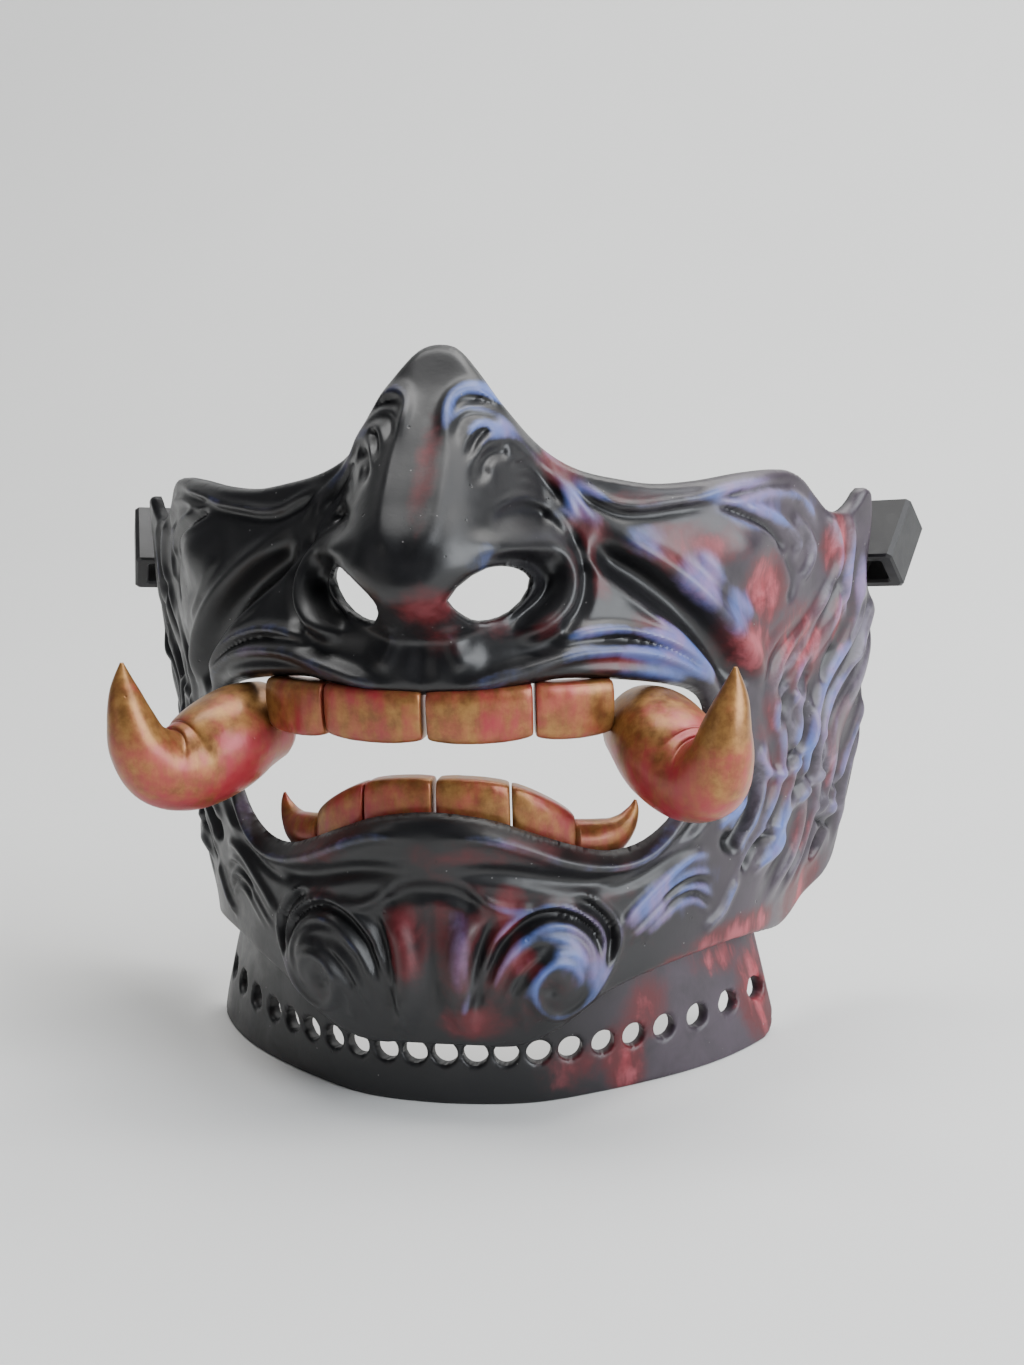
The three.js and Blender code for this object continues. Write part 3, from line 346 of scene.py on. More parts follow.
def sheet(us, vs, loops, snap=0.36):
    """Cuts a grid by closed loops. Returns points (u, v) and triangles."""
    nu, nv = len(us), len(vs)
    x, y = [g.ravel() for g in np.meshgrid(us, vs, indexing='ij')]
    d, bx, by = nearest_on(loops, x, y)
    state = np.where(inside(loops, x, y), 1, -1)
    near = d < snap * min(np.diff(us).min(), np.diff(vs).min())
    x, y = np.where(near, bx, x), np.where(near, by, y)
    state[near] = 0
    i, j = [g.ravel() for g in np.meshgrid(np.arange(nu - 1), np.arange(nv - 1), indexing='ij')]
    a = i * nv + j
    b, c, e = a + nv, a + nv + 1, a + 1
    right = i >= (nu - 1) / 2
    tris = np.concatenate([
        np.stack([a, b, np.where(right, c, e)], 1),
        np.stack([np.where(right, a, b), c, e], 1)])
    s = state[tris]
    full = (s >= 0).all(1)
    flat = (s == 0).all(1)
    if flat.any():
        k = np.nonzero(flat)[0]
        ok = inside(loops, x[tris[k]].mean(1), y[tris[k]].mean(1))
        full[k[~ok]] = False
    keep = [tuple(t) for t in tris[full]]
    cut = np.nonzero((s.max(1) > 0) & (s.min(1) < 0))[0]
    pairs = {}
    for k in cut:
        t = tris[k]
        for m in range(3):
            p, q = t[m], t[(m + 1) % 3]
            if state[p] * state[q] < 0:
                pairs.setdefault((min(p, q), max(p, q)), None)
    keys = list(pairs)
    if keys:
        p = np.array([k[0] if state[k[0]] > 0 else k[1] for k in keys])
        q = np.array([k[1] if state[k[0]] > 0 else k[0] for k in keys])
        px, py, qx, qy = x[p], y[p], x[q], y[q]
        for _ in range(18):
            mx, my = (px + qx) / 2, (py + qy) / 2
            good = inside(loops, mx, my)
            px, py = np.where(good, mx, px), np.where(good, my, py)
            qx, qy = np.where(good, qx, mx), np.where(good, qy, my)
        for n, k in enumerate(keys):
            pairs[k] = len(x) + n
        x, y = np.concatenate([x, px]), np.concatenate([y, py])
    for k in cut:
        t = tris[k]
        ring = []
        for m in range(3):
            p, q = t[m], t[(m + 1) % 3]
            if state[p] >= 0:
                ring.append(p)
            if state[p] * state[q] < 0:
                ring.append(pairs[(min(p, q), max(p, q))])
        for m in range(1, len(ring) - 1):
            keep.append((ring[0], ring[m], ring[m + 1]))
    keep = np.array(keep)
    used, number = np.unique(keep, return_inverse=True)
    keep = number.reshape(-1, 3)
    x, y = x[used], y[used]
    return x, y, keep


def borders(tris):
    """Ordered closed chains of open edges, each as a list of point numbers."""
    e = np.concatenate([tris[:, [0, 1]], tris[:, [1, 2]], tris[:, [2, 0]]])
    have = set(map(tuple, e.tolist()))
    nxt = {p: q for p, q in have if (q, p) not in have}
    chains = []
    while nxt:
        start = next(iter(nxt))
        chain = [start]
        p = nxt.pop(start)
        while p != start:
            chain.append(p)
            p = nxt.pop(p)
        chains.append(chain)
    return chains


def zip_chains(pa, chain_a, pb, chain_b, shift):
    """Triangles between a chain of the outer skin and its mate on the inner skin."""
    A = pa[chain_a]
    B = pb[chain_b]
    k = int(np.argmin(np.hypot(*(B - A[0]).T)))
    chain_b = chain_b[k:] + chain_b[:k]
    B = pb[chain_b]
    def param(p):
        seg = np.hypot(*(np.roll(p, -1, 0) - p).T)
        return np.concatenate([[0], np.cumsum(seg)]) / seg.sum()
    ta, tb = param(A), param(B)
    na, nb = len(A), len(B)
    i = j = 0
    out = []
    while i < na or j < nb:
        if j >= nb or (i < na and ta[i + 1] <= tb[j + 1]):
            out.append((chain_a[(i + 1) % na], chain_a[i % na], chain_b[j % nb] + shift))
            i += 1
        else:
            out.append((chain_a[i % na], chain_b[j % nb] + shift, chain_b[(j + 1) % nb] + shift))
            j += 1
    return out


def make(name, points_mm, faces, attributes=None, sharp=None):
    v = np.asarray(points_mm, float) / 1000.0
    f = np.asarray(faces, dtype=np.int64)
    p, q, r = v[f[:, 0]], v[f[:, 1]], v[f[:, 2]]
    if (p * np.cross(q, r)).sum() < 0:
        f = f[:, ::-1]
    mesh = bpy.data.meshes.new(name)
    mesh.vertices.add(len(v))
    mesh.vertices.foreach_set('co', v.ravel())
    mesh.loops.add(f.size)
    mesh.loops.foreach_set('vertex_index', f.ravel().astype(np.int32))
    mesh.polygons.add(len(f))
    mesh.polygons.foreach_set('loop_start', (np.arange(len(f)) * 3).astype(np.int32))
    mesh.polygons.foreach_set('use_smooth', np.ones(len(f), bool))
    mesh.update(calc_edges=True)
    mesh.validate()
    if sharp:
        mesh.set_sharp_from_angle(angle=sharp * DEG)
    for key, value in (attributes or {}).items():
        layer = mesh.attributes.new(key, 'FLOAT', 'POINT')
        layer.data.foreach_set('value', np.asarray(value, np.float32))
    ob = bpy.data.objects.new(name, mesh)
    bpy.context.scene.collection.objects.link(ob)
    return ob


def loft(sections):
    """Closed skin through a row of closed sections."""
    s = np.asarray(sections, float)
    m, n, _ = s.shape
    pts = s.reshape(-1, 3)
    k = np.arange(n)
    faces = []
    for i in range(m - 1):
        a, b = i * n + k, i * n + (k + 1) % n
        faces.append(np.stack([a, b, b + n], 1))
        faces.append(np.stack([a, b + n, a + n], 1))
    pts = np.concatenate([pts, s[0].mean(0)[None], s[-1].mean(0)[None]])
    z = (m - 1) * n
    faces.append(np.stack([(k + 1) % n, k, np.full(n, m * n)], 1))
    faces.append(np.stack([z + k, z + (k + 1) % n, np.full(n, m * n + 1)], 1))
    return pts, np.concatenate(faces)


# --------------------------------------------------------------- face shell
def both(half, steps):
    right = list(half)
    ring = right + [(-a, z) for a, z in right[-2:0:-1]]
    return spline([(a * MM_PER_DEG, z) for a, z in ring], steps, closed=True)


def closed(points, steps, sign=1):
    ring = spline([(sign * a * MM_PER_DEG, z) for a, z in points], steps, closed=True)
    return ring if sign > 0 else ring[::-1]


def jaw_hole(sign, n=28):
    a, q, wide_half, high = JAW_HOLE
    k = np.arange(n) / n * 2 * math.pi * sign
    return np.stack([(sign * a + wide_half * np.cos(k)) * MM_PER_DEG, q + high * np.sin(k)], 1)


shell_loops = [both(EDGE, 4), both(MOUTH, 4), closed(NOSTRIL, 4), closed(NOSTRIL, 4, -1),
               jaw_hole(1), jaw_hole(-1)]


def spaced(breaks):
    """Grid positions from the middle out: (start, end, step) runs in mm, mirrored."""
    half = [0.0]
    for start, end, step in breaks:
        n = max(1, round((end - start) / step))
        half += list(start + (end - start) * np.arange(1, n + 1) / n)
    half = np.array(half)
    return np.concatenate([-half[:0:-1], half])


FINE = 0.52
us = spaced([(0, 70, FINE), (70, 112, 0.62), (112, 153, 0.8)])
vs = np.arange(13.6, 156.2, FINE)
fu, fv, ft = sheet(us, vs, shell_loops)
angle, z = fu / MM_PER_DEG, fv
edge_d = nearest_on(shell_loops, fu, fv)[0]
mouth_d = nearest_on(shell_loops[1:2], fu, fv)[0]


def blur(field, times=2):
    for _ in range(times):
        for axis in (0, 1):
            p = np.pad(field, [(1, 1) if k == axis else (0, 0) for k in (0, 1)], 'edge')
            n = field.shape[axis]
            lo, mid, hi = [np.take(p, np.arange(n) + k, axis) for k in (0, 1, 2)]
            field = 0.25 * lo + 0.5 * mid + 0.25 * hi
    return field


def sample(field, u, v):
    i = np.clip(np.searchsorted(us, u, side='right') - 1, 0, len(us) - 2)
    j = np.clip(np.searchsorted(vs, v, side='right') - 1, 0, len(vs) - 2)
    p = np.clip((u - us[i]) / (us[i + 1] - us[i]), 0, 1)
    q = np.clip((v - vs[j]) / (vs[j + 1] - vs[j]), 0, 1)
    return ((1 - p) * (1 - q) * field[i, j] + p * (1 - q) * field[i + 1, j]
            + (1 - p) * q * field[i, j + 1] + p * q * field[i + 1, j + 1])


def waves(angle, z):
    """Flowing flame-like ridges down the flanks, between the drawn lines."""
    a = np.abs(angle)
    s = 0.85 * (a - 75) * MM_PER_DEG - 0.42 * (z - 60) + 5.0 * np.sin(z / 9.5 + a / 12) + 2.4 * np.sin(z / 5.2 - a / 7 + 1.0)
    pitch = 8.6 + 2.6 * smooth(78, 100, a)
    w = np.cos(2 * math.pi * s / pitch)
    w = np.sign(w) * np.abs(w)**0.8 * (0.8 + 0.2 * np.sin(z / 6.0 + a / 5.0))
    top = 84 + 0.6 * np.clip(a - 64, 0, 40)
    where = smooth(57, 64, a) * (1 - smooth(106, 110, a)) * smooth(30, 40, z) * (1 - smooth(top, top + 12, z))
    near_hole = 1 - np.exp(-(((a - JAW_HOLE[0]) * MM_PER_DEG)**2 + (z - JAW_HOLE[1])**2) / 120.0)
    return w * where * near_hole


gu, gv = [g.ravel() for g in np.meshgrid(us, vs, indexing='ij')]
fields = [blur(f.reshape(len(us), len(vs))) for f in carve(gu / MM_PER_DEG, gv)]
flow = waves(gu / MM_PER_DEG, gv).reshape(len(us), len(vs))
wide, ridge, groove = [sample(f, fu, fv) for f in fields]
flow = sample(flow, fu, fv)
fade = smooth(0.0, 2.2, edge_d)
outer = broad_radius(angle, z) + wide + (ridge + groove + 1.05 * flow) * (0.25 + 0.75 * fade)
ROUND = 1.5
over = np.clip(1 - edge_d / ROUND, 0, 1)
outer -= ROUND * (1 - np.sqrt(np.clip(1 - over**2, 0, 1)))
lip = np.clip(1 - mouth_d / 3.4, 0, 1)
outer -= 1.6 * lip**2
outer_p = place(angle, z, outer)

cus = spaced([(0, 153, 2.0)])
cvs = np.arange(13.2, 157.0, 2.0)
cu, cv, ct = sheet(cus, cvs, shell_loops)
ca, cz = cu / MM_PER_DEG, cv
cwide = carve(ca, cz)[0]
inner = broad_radius(ca, cz) + cwide - WALL
cedge = nearest_on(shell_loops, cu, cv)[0]
inner += 0.5 * (1 - smooth(0, 2.0, cedge))
inner_p = place(ca, cz, inner)

n_out = len(outer_p)
faces = [ft, ct[:, ::-1] + n_out]
pa, pb = np.stack([fu, fv], 1), np.stack([cu, cv], 1)
mates = borders(ct)
centre_b = [pb[c].mean(0) for c in mates]
span_b = [np.ptp(pb[c][:, 0]) for c in mates]
for chain in borders(ft):
    score = [np.hypot(*(pa[chain].mean(0) - cb)) + abs(np.ptp(pa[chain][:, 0]) - sb) for cb, sb in zip(centre_b, span_b)]
    faces.append(np.array(zip_chains(pa, chain, pb, list(mates[int(np.argmin(score))]), n_out)))
pad = np.zeros(len(inner_p))
shell = make('mask_shell', np.concatenate([outer_p, inner_p]), np.concatenate(faces), {
    'crest': np.concatenate([np.clip(ridge / 1.1 + 0.8 * np.clip(flow, 0, 1), 0, 1), pad]),
    # depth of grooves and valleys; the lacquer keeps these recesses dark as painted shading
    'recess_shade': np.concatenate([np.clip(-groove / 1.2 + np.clip(-wide / 5, 0, 1) + 0.8 * np.clip(-flow, 0, 1), 0, 1), pad]),
    # 'side' marks the lit right side of the face only; the lacquer raises painted sheen and highlights there and leaves
    # the left side dark as painted shading.
    'side': np.concatenate([smooth(28, 66, angle), pad]),
    'turn': np.concatenate([angle / 100.0, ca / 100.0]),
    'outside': np.concatenate([np.ones(n_out), pad]),
}, sharp=55)

# ---------------------------------------------------------------- chin band
BAND = np.array([[0, 75.2, 75.2], [15, 74.6, 75], [25, 72.4, 73], [35, 71.2, 69.8], [45, 71, 67.2], [55, 71, 65.2], [69, 71, 64.6]])
BAND_END, BAND_TOP, BAND_WALL = 69.0, 28.0, 3.2
HOLE_D, HOLE_Z = 5.2, 11.0
HOLES = [(0, 5.2), (4.9, 5.2), (9.8, 5.2), (15, 5.2), (20.2, 5.2), (26, 5.3),
         (31.9, 5.5), (38.4, 5.8), (46.2, 6.3), (55, 6.9), (64.4, 7.2)]


def band_radius(angle, z):
    v = knots(BAND[:, 0], BAND[:, 1:], np.abs(angle))
    return v[:, 0] + (v[:, 1] - v[:, 0]) * np.clip(z / 25, 0, 1)


e = BAND_END * MM_PER_DEG
corner = [(e, BAND_TOP), (e, 7.4)] + [(e - 7.4 + 7.4 * math.cos(t), 7.4 - 7.4 * math.sin(t)) for t in np.linspace(0.2, 1.57, 7)]
band_loop = np.array(corner + [(-u, v) for u, v in corner[::-1]])
band_loops = [band_loop] + [
    np.stack([a * MM_PER_DEG + 1.07 * w / 2 * np.cos(t), HOLE_Z + HOLE_D / 2 * np.sin(t)], 1)
    for a, w in HOLES + [(-a, w) for a, w in HOLES[1:]] for t in [np.arange(24) / 24 * 2 * math.pi]]
bu, bv, bt = sheet(spaced([(0, e + 0.4, 0.62)]), np.arange(-0.31, 29, 0.62), band_loops)
ba = bu / MM_PER_DEG
bd = nearest_on(band_loops, bu, bv)[0]
over = np.clip(1 - bd / 0.6, 0, 1)
soft = 0.45 * (1 - np.sqrt(np.clip(1 - over**2, 0, 1)))
br = band_radius(ba, bv)
wave = 0.08 * np.sin(ba * 0.5 + 0.6) * np.sin(bv * 0.3)
bo = place(ba, bv, br - soft + wave)
bi = place(ba, bv, br - BAND_WALL + soft)
nb = len(bo)
faces = [bt, bt[:, ::-1] + nb]
for chain in borders(bt):
    c = np.array(chain)
    d = np.roll(c, -1)
    faces += [np.stack([d, c, c + nb], 1), np.stack([d, c + nb, d + nb], 1)]
band = make('mask_band', np.concatenate([bo, bi]), np.concatenate(faces), {
    'turn': np.concatenate([ba, ba]) / 100.0, 'edge': np.tile(np.clip(1 - bd / 1.2, 0, 1), 2),
    # 'side' marks the lit right part of the band, where the lacquer adds painted sheen.
    'crest': np.zeros(2 * nb), 'recess_shade': np.zeros(2 * nb), 'side': np.tile(smooth(14, 44, ba), 2), 'outside': np.concatenate([np.ones(nb), np.zeros(nb)])}, sharp=50)

# -------------------------------------------------------------------- teeth
# name, angle from and to, crown and root heights at both ends, front radius, depth, sag of the free edge
TEETH = [
    ('upper_incisor', 0.35, 15.0, (88.6, 89.4), (78.6, 78.9), (83.4, 82.2), 7.2, -0.9),
    ('upper_lateral', 15.4, 27.0, (89.4, 89.0), (78.6, 78.6), (82.2, 79.6), 7.2, -0.8),
    ('lower_incisor', 0.35, 11.5, (69.4, 68.0), (58.0, 56.0), (77.4, 76.4), 6.8, 0.7),
    ('lower_lateral', 11.8, 21.9, (67.8, 60.4), (55.6, 50.6), (76.4, 73.8), 6.8, 0.8),
]


def tooth(a, b, top, low, r, deep, sag, sign, upper):
    stations = np.concatenate([[0, 0.006, 0.02, 0.045, 0.08], np.linspace(0.12, 0.88, 16), [0.92, 0.955, 0.98, 0.994, 1]])
    t = np.arange(40) / 40 * 2 * math.pi
    cu, cv = np.cos(t), np.sin(t)
    p = 5.0
    box = (np.abs(cu)**p + np.abs(cv)**p)**(-1 / p)
    cu, cv = cu * box, cv * box
    rows = []
    for s in stations:
        end = abs(2 * s - 1)
        scale = (1 - end**14)**(1 / 5) if end < 1 else 0.0
        scale = max(scale, 0.25)
        bulge = 1 - end**2.4
        z1, z0 = top[0] + (top[1] - top[0]) * s, low[0] + (low[1] - low[0]) * s
        if upper:
            z0 += sag * bulge
        else:
            z1 += sag * bulge
        front = r[0] + (r[1] - r[0]) * s + 0.55 * bulge
        zm, h = (z0 + z1) / 2, (z1 - z0) / 2 * (0.86 + 0.14 * scale)
        rm, w = front - deep / 2, deep / 2 * (0.72 + 0.28 * scale)
        ang = a + (b - a) * s
        free = cv if upper else -cv
        lean = 0.5 * np.clip(-free, 0, 1)
        rr = rm + cu * w - lean * np.clip(cu, 0, 1)
        rr = rr + 0.07 * np.sin(7.0 * s + 3 * cv) * np.sin(2.3 * ang + zm)
        rows.append(place(np.full(40, sign * ang), zm + cv * h, rr))
    return loft(rows)


parts = []
for name, a, b, top, low, r, deep, sag in TEETH:
    for side, sign in (('right', 1), ('left', -1)):
        pts, f = tooth(a, b, top, low, r, deep, sag, sign, name.startswith('upper'))
        ob = make('mask_%s_%s' % (name, side), pts, f, sharp=60)
        parts.append((ob, '%s_%s' % (name, side), 'tooth_paint'))


def sweep(line, radius, steps, around, flat=1.0, cap=0.12):
    """Round body along a smooth centre line; flat squeezes it across."""
    c = spline(line, steps)
    rr = spline([(q, q) for q in radius], steps)[:, 0]
    tangent = np.gradient(c, axis=0)
    tangent /= np.linalg.norm(tangent, axis=1)[:, None]
    side = np.cross(tangent[0], [0, 0, 1.0])
    rows = []
    t = np.arange(around) / around * 2 * math.pi
    for k in range(len(c)):
        side = side - tangent[k] * side.dot(tangent[k])
        side /= np.linalg.norm(side)
        up = np.cross(side, tangent[k])
        rows.append(c[k] + rr[k] * (np.cos(t)[:, None] * side * flat + np.sin(t)[:, None] * up))
    first = rows[0]
    mid = first.mean(0)
    lead = [mid + (first - mid) * q - tangent[0] * rr[0] * w for q, w in ((0.35, 0.42), (0.7, 0.32), (0.9, 0.17))]
    return loft(lead + rows)


TUSK = np.array([  # x, y from the axis, z, half thickness
    [39.9, -59.6, 77.6, 8.6], [43.5, -65.4, 76.6, 10.0], [47.2, -71.0, 74.0, 10.4], [51.2, -76.2, 71.6, 9.4],
    [55.2, -81.2, 72.4, 8.1], [57.8, -85.0, 77.2, 6.4], [59.0, -86.3, 83.0, 4.8], [60.2, -85.8, 89.0, 2.9], [60.6, -85.1, 94.4, 0.35]])
FANG = np.array([  # angle, height, radius of the row, half thickness
    [21.9, 54.4, 70.4, 4.6], [25.5, 54.0, 69.8, 4.5], [29.0, 54.4, 68.9, 3.9], [31.8, 56.2, 68.2, 2.7], [33.6, 58.8, 67.8, 1.4], [34.2, 61.0, 67.6, 0.3]])
for side, sign in (('right', 1), ('left', -1)):
    pts, f = sweep((TUSK[:, :3] + np.array([0, AXIS_Y, 0])) * np.array([sign, 1, 1]), TUSK[:, 3], 10, 44)
    parts.append((make('mask_tusk_%s' % side, pts, f), 'tusk_%s' % side, 'tusk_paint'))
    line = [place(np.array([sign * a]), np.array([q]), np.array([r]))[0] for a, q, r, _ in FANG]
    pts, f = sweep(line, FANG[:, 3], 9, 32, flat=0.85)
    parts.append((make('mask_fang_%s' % side, pts, f), 'lower_fang_%s' % side, 'tooth_paint'))

# ------------------------------------------------------------- strap blocks
ACROSS, ALONG, DEEP, SLOT, CHAMFER = 12.6, 18.0, 11.0, 6.4, 0.9


def block(sign):
    axis = np.array([-0.26, -0.7, -0.66])
    axis /= np.linalg.norm(axis)
    across = np.array([0.93, -0.25, 0.2])
    across -= axis * across.dot(axis)
    across /= np.linalg.norm(across)
    third = np.cross(axis, across)
    w, h, c, s, b = ACROSS / 2, DEEP / 2, CHAMFER, SLOT / 2, 0.5

    def ring(w, h, c):
        return [(-w + c, -h), (w - c, -h), (w, -h + c), (w, h - c), (w - c, h), (-w + c, h), (-w, h - c), (-w, -h + c)]
    half = ALONG / 2
    rows = [(ring(w - b, h - b, c), half), (ring(w, h, c), half - b), (ring(w, h, c), -half + b), (ring(w - b, h - b, c), -half),
            (ring(s + b, s + b, 0.6), -half), (ring(s, s, 0.4), -half + b), (ring(s, s, 0.4), half - b), (ring(s + b, s + b, 0.6), half)]
    pts, faces = [], []
    for shape, at in rows:
        for u, v in shape:
            p = np.array([88.6, AXIS_Y + 7.25, 107.2]) + across * u + third * v + axis * at
            pts.append(p * np.array([sign, 1, 1]))
    for i in range(8):
        j = (i + 1) % 8
        for k in range(8):
            a, b2 = i * 8 + k, i * 8 + (k + 1) % 8
            c2, d2 = j * 8 + (k + 1) % 8, j * 8 + k
            faces += [(a, b2, c2), (a, c2, d2)]
    return np.array(pts), np.array(faces)


for side, sign in (('right', 1), ('left', -1)):
    pts, f = block(sign)
    parts.append((make('mask_strap_block_%s' % side, pts, f, sharp=24), 'strap_block_%s' % side, 'bare_resin'))
parts += [(shell, 'face_shell', 'lacquer'), (band, 'chin_band', 'lacquer')]

# Paint areas: angle, height, half sizes in degrees and millimetres, strength. The red table is red paint brushed over
# the black, set mostly on the viewer's right side, the left side kept nearly free of it as painted shading. The next
# table is a painted highlight, a violet-blue reflection of the sky on the lit right side.
RED = [
    (1.3, 131, 2.4, 14, 0.55), (2.3, 106.7, 4, 6, 0.75), (2.5, 98.6, 4.5, 6, 0.5), (22.2, 129.7, 5, 6, 0.75),
    (25.7, 114.8, 4.6, 10, 0.7), (43.5, 113.5, 12, 6, 0.8), (36.1, 123.3, 10, 2.6, 0.4), (59.3, 103.4, 7, 10, 0.9),
    (52.3, 91, 9, 9, 0.85), (69.8, 87.5, 14, 12.4, 0.8), (81, 109, 6, 8, 0.8), (62.6, 75.3, 6.5, 8, 0.7),
    (28.5, 92.7, 7, 3.4, 0.8), (33.8, 98.7, 8, 3.4, 0.55), (-4.6, 39.7, 3.4, 14, 0.7), (1.3, 46.4, 4, 11.5, 0.5),
    (11.3, 45.1, 3, 10.6, 0.8), (13.3, 33.6, 3, 4.2, 0.95), (5, 20.9, 7, 5, 0.7), (55.2, 28.4, 15, 5, 0.9),
    (84, 28.5, 20, 8, 0.75), (41.6, 25.8, 11, 3, 0.8), (41, 61.4, 5, 8, 0.5), (27.8, 47.5, 5.4, 5, 0.5),
    (84, 91.5, 7, 9.4, 0.7), (26.8, 109, 3.2, 7, 0.6), (13.2, 88.5, 6, 3.4, 0.4), (92, 60, 12, 16, 0.55),
    (8, 40, 22, 24, 0.42), (10, 55, 22, 6, 0.5), (-14, 52, 14, 10, 0.34), (16, 100, 12, 5, 0.45), (66, 60, 10, 14, 0.6), (76, 46, 10, 10, 0.6),
    (-22, 47, 8, 5, 0.3), (-12, 92, 9, 4, 0.3), (-40, 96, 8, 5, 0.25), (-16, 24, 6, 5, 0.3)]
# Painted highlight: a violet-blue reflection of the sky, on the lit right side only.
SKY_SHEEN = [
    (10.3, 142.8, 7.2, 7.4, 0.8), (17.3, 115.6, 4.7, 5.4, 0.4), (8.9, 114.8, 4.2, 5.4, 0.7), (26.5, 123.3, 4.2, 10, 0.7),
    (36, 115, 6, 6, 0.8), (44, 106, 6, 9, 1.0), (51, 99, 5, 7, 0.95), (57, 120, 13, 7, 0.7), (64, 104, 5, 8, 0.5),
    (39, 92.7, 10.7, 7, 0.9), (25.3, 96.9, 6.3, 4.6, 0.4), (70.7, 78.4, 8.2, 9.4, 0.5), (61, 65.2, 7.1, 13.8, 0.6),
    (4, 37.2, 2.8, 13.8, 0.75), (17.9, 35.3, 9.6, 13, 0.55), (39.2, 42.4, 14.2, 9.2, 0.7), (73.2, 119.8, 6.1, 4.6, 0.5),
    (82.5, 78, 9, 14, 0.8), (52.7, 54.1, 8.1, 9.2, 0.75), (88, 98, 7, 12, 0.75), (64, 50, 9, 10, 0.7), (72, 66, 6, 10, 0.7), (98, 56, 9, 16, 0.6)]
BAND_RED = [(30, 6, 5, 10, 0.7), (35, 17, 6, 8, 0.65), (64, 10, 7, 16, 0.75), (20, 5, 8, 8, 0.4), (54, 22, 10, 6, 0.6)]


def paint(ob, turn, z, areas, name):
    total = np.zeros(len(turn))
    for a, q, ra, rz, s in areas:
        d = np.hypot((turn - a) / (1.35 * ra), (z - q) / (1.35 * rz))
        total = np.maximum(total, s * np.where(d < 1, np.cos(np.clip(d, 0, 1) * math.pi / 2)**1.3, 0))
    layer = ob.data.attributes.new(name, 'FLOAT', 'POINT')
    layer.data.foreach_set('value', total.astype(np.float32))


paint(shell, np.concatenate([angle, ca]), np.concatenate([z, cz]), RED, 'red')
# painted violet-blue sky reflection on the face
paint(shell, np.concatenate([angle, ca]), np.concatenate([z, cz]), SKY_SHEEN, 'sky_sheen')
paint(band, np.concatenate([ba, ba]), np.concatenate([bv, bv]), BAND_RED, 'red')
# painted violet-blue sky reflection on the lit right part of the band
paint(band, np.concatenate([ba, ba]), np.concatenate([bv, bv]), [(33, 10, 7, 12, 0.35)], 'sky_sheen')


# ---------------------------------------------------------------- materials
class Nodes:
    def __init__(self, name):
        self.mat = bpy.data.materials.new(name)
        self.mat.use_nodes = True
        self.tree = self.mat.node_tree
        self.tree.nodes.clear()
        self.out = self.tree.nodes.new('ShaderNodeOutputMaterial')
        self.skin = self.tree.nodes.new('ShaderNodeBsdfPrincipled')
        self.tree.links.new(self.skin.outputs[0], self.out.inputs[0])
        self.coord = self.tree.nodes.new('ShaderNodeTexCoord').outputs['Object']

    def put(self, socket, value):
        if hasattr(value, 'is_output'):
            self.tree.links.new(value, socket)
        else:
            socket.default_value = value

    def math(self, op, a, b=0.0, clamp=False):
        n = self.tree.nodes.new('ShaderNodeMath')
        n.operation, n.use_clamp = op, clamp
        self.put(n.inputs[0], a)
        self.put(n.inputs[1], b)
        return n.outputs[0]

    def ramp(self, x, lo, hi, a=0.0, b=1.0):
        n = self.tree.nodes.new('ShaderNodeMapRange')
        n.interpolation_type = 'SMOOTHSTEP'
        self.put(n.inputs['Value'], x)
        for key, v in (('From Min', lo), ('From Max', hi), ('To Min', a), ('To Max', b)):
            n.inputs[key].default_value = v
        return n.outputs[0]

    def noise(self, scale, detail=3.0, rough=0.55, stretch=None, turn=(0, 0, 0), warp=0.0):
        n = self.tree.nodes.new('ShaderNodeTexNoise')
        n.inputs['Scale'].default_value = scale
        n.inputs['Detail'].default_value = detail
        n.inputs['Roughness'].default_value = rough
        n.inputs['Distortion'].default_value = warp
        if stretch:
            m = self.tree.nodes.new('ShaderNodeMapping')
            m.inputs['Scale'].default_value = stretch
            m.inputs['Rotation'].default_value = turn
            self.tree.links.new(self.coord, m.inputs['Vector'])
            self.tree.links.new(m.outputs[0], n.inputs['Vector'])
        else:
            self.tree.links.new(self.coord, n.inputs['Vector'])
        return n.outputs[0]

    def cells(self, scale):
        n = self.tree.nodes.new('ShaderNodeTexVoronoi')
        n.inputs['Scale'].default_value = scale
        self.tree.links.new(self.coord, n.inputs['Vector'])
        return n.outputs['Distance']

    def attr(self, name):
        n = self.tree.nodes.new('ShaderNodeAttribute')
        n.attribute_name = name
        return n.outputs['Fac']

    def mix(self, fac, a, b):
        n = self.tree.nodes.new('ShaderNodeMix')
        n.data_type = 'RGBA'
        self.put(n.inputs['Factor'], fac)
        ins = [s for s in n.inputs if s.type == 'RGBA']
        for s, v in zip(ins, (a, b)):
            self.put(s, v if hasattr(v, 'is_output') else (*v, 1.0))
        return [s for s in n.outputs if s.type == 'RGBA'][0]

    def bump(self, *layers):
        last = None
        for height, strength, distance in layers:
            n = self.tree.nodes.new('ShaderNodeBump')
            n.inputs['Strength'].default_value = strength
            n.inputs['Distance'].default_value = distance
            self.put(n.inputs['Height'], height)
            if last:
                self.tree.links.new(last, n.inputs['Normal'])
            last = n.outputs[0]
        self.tree.links.new(last, self.skin.inputs['Normal'])


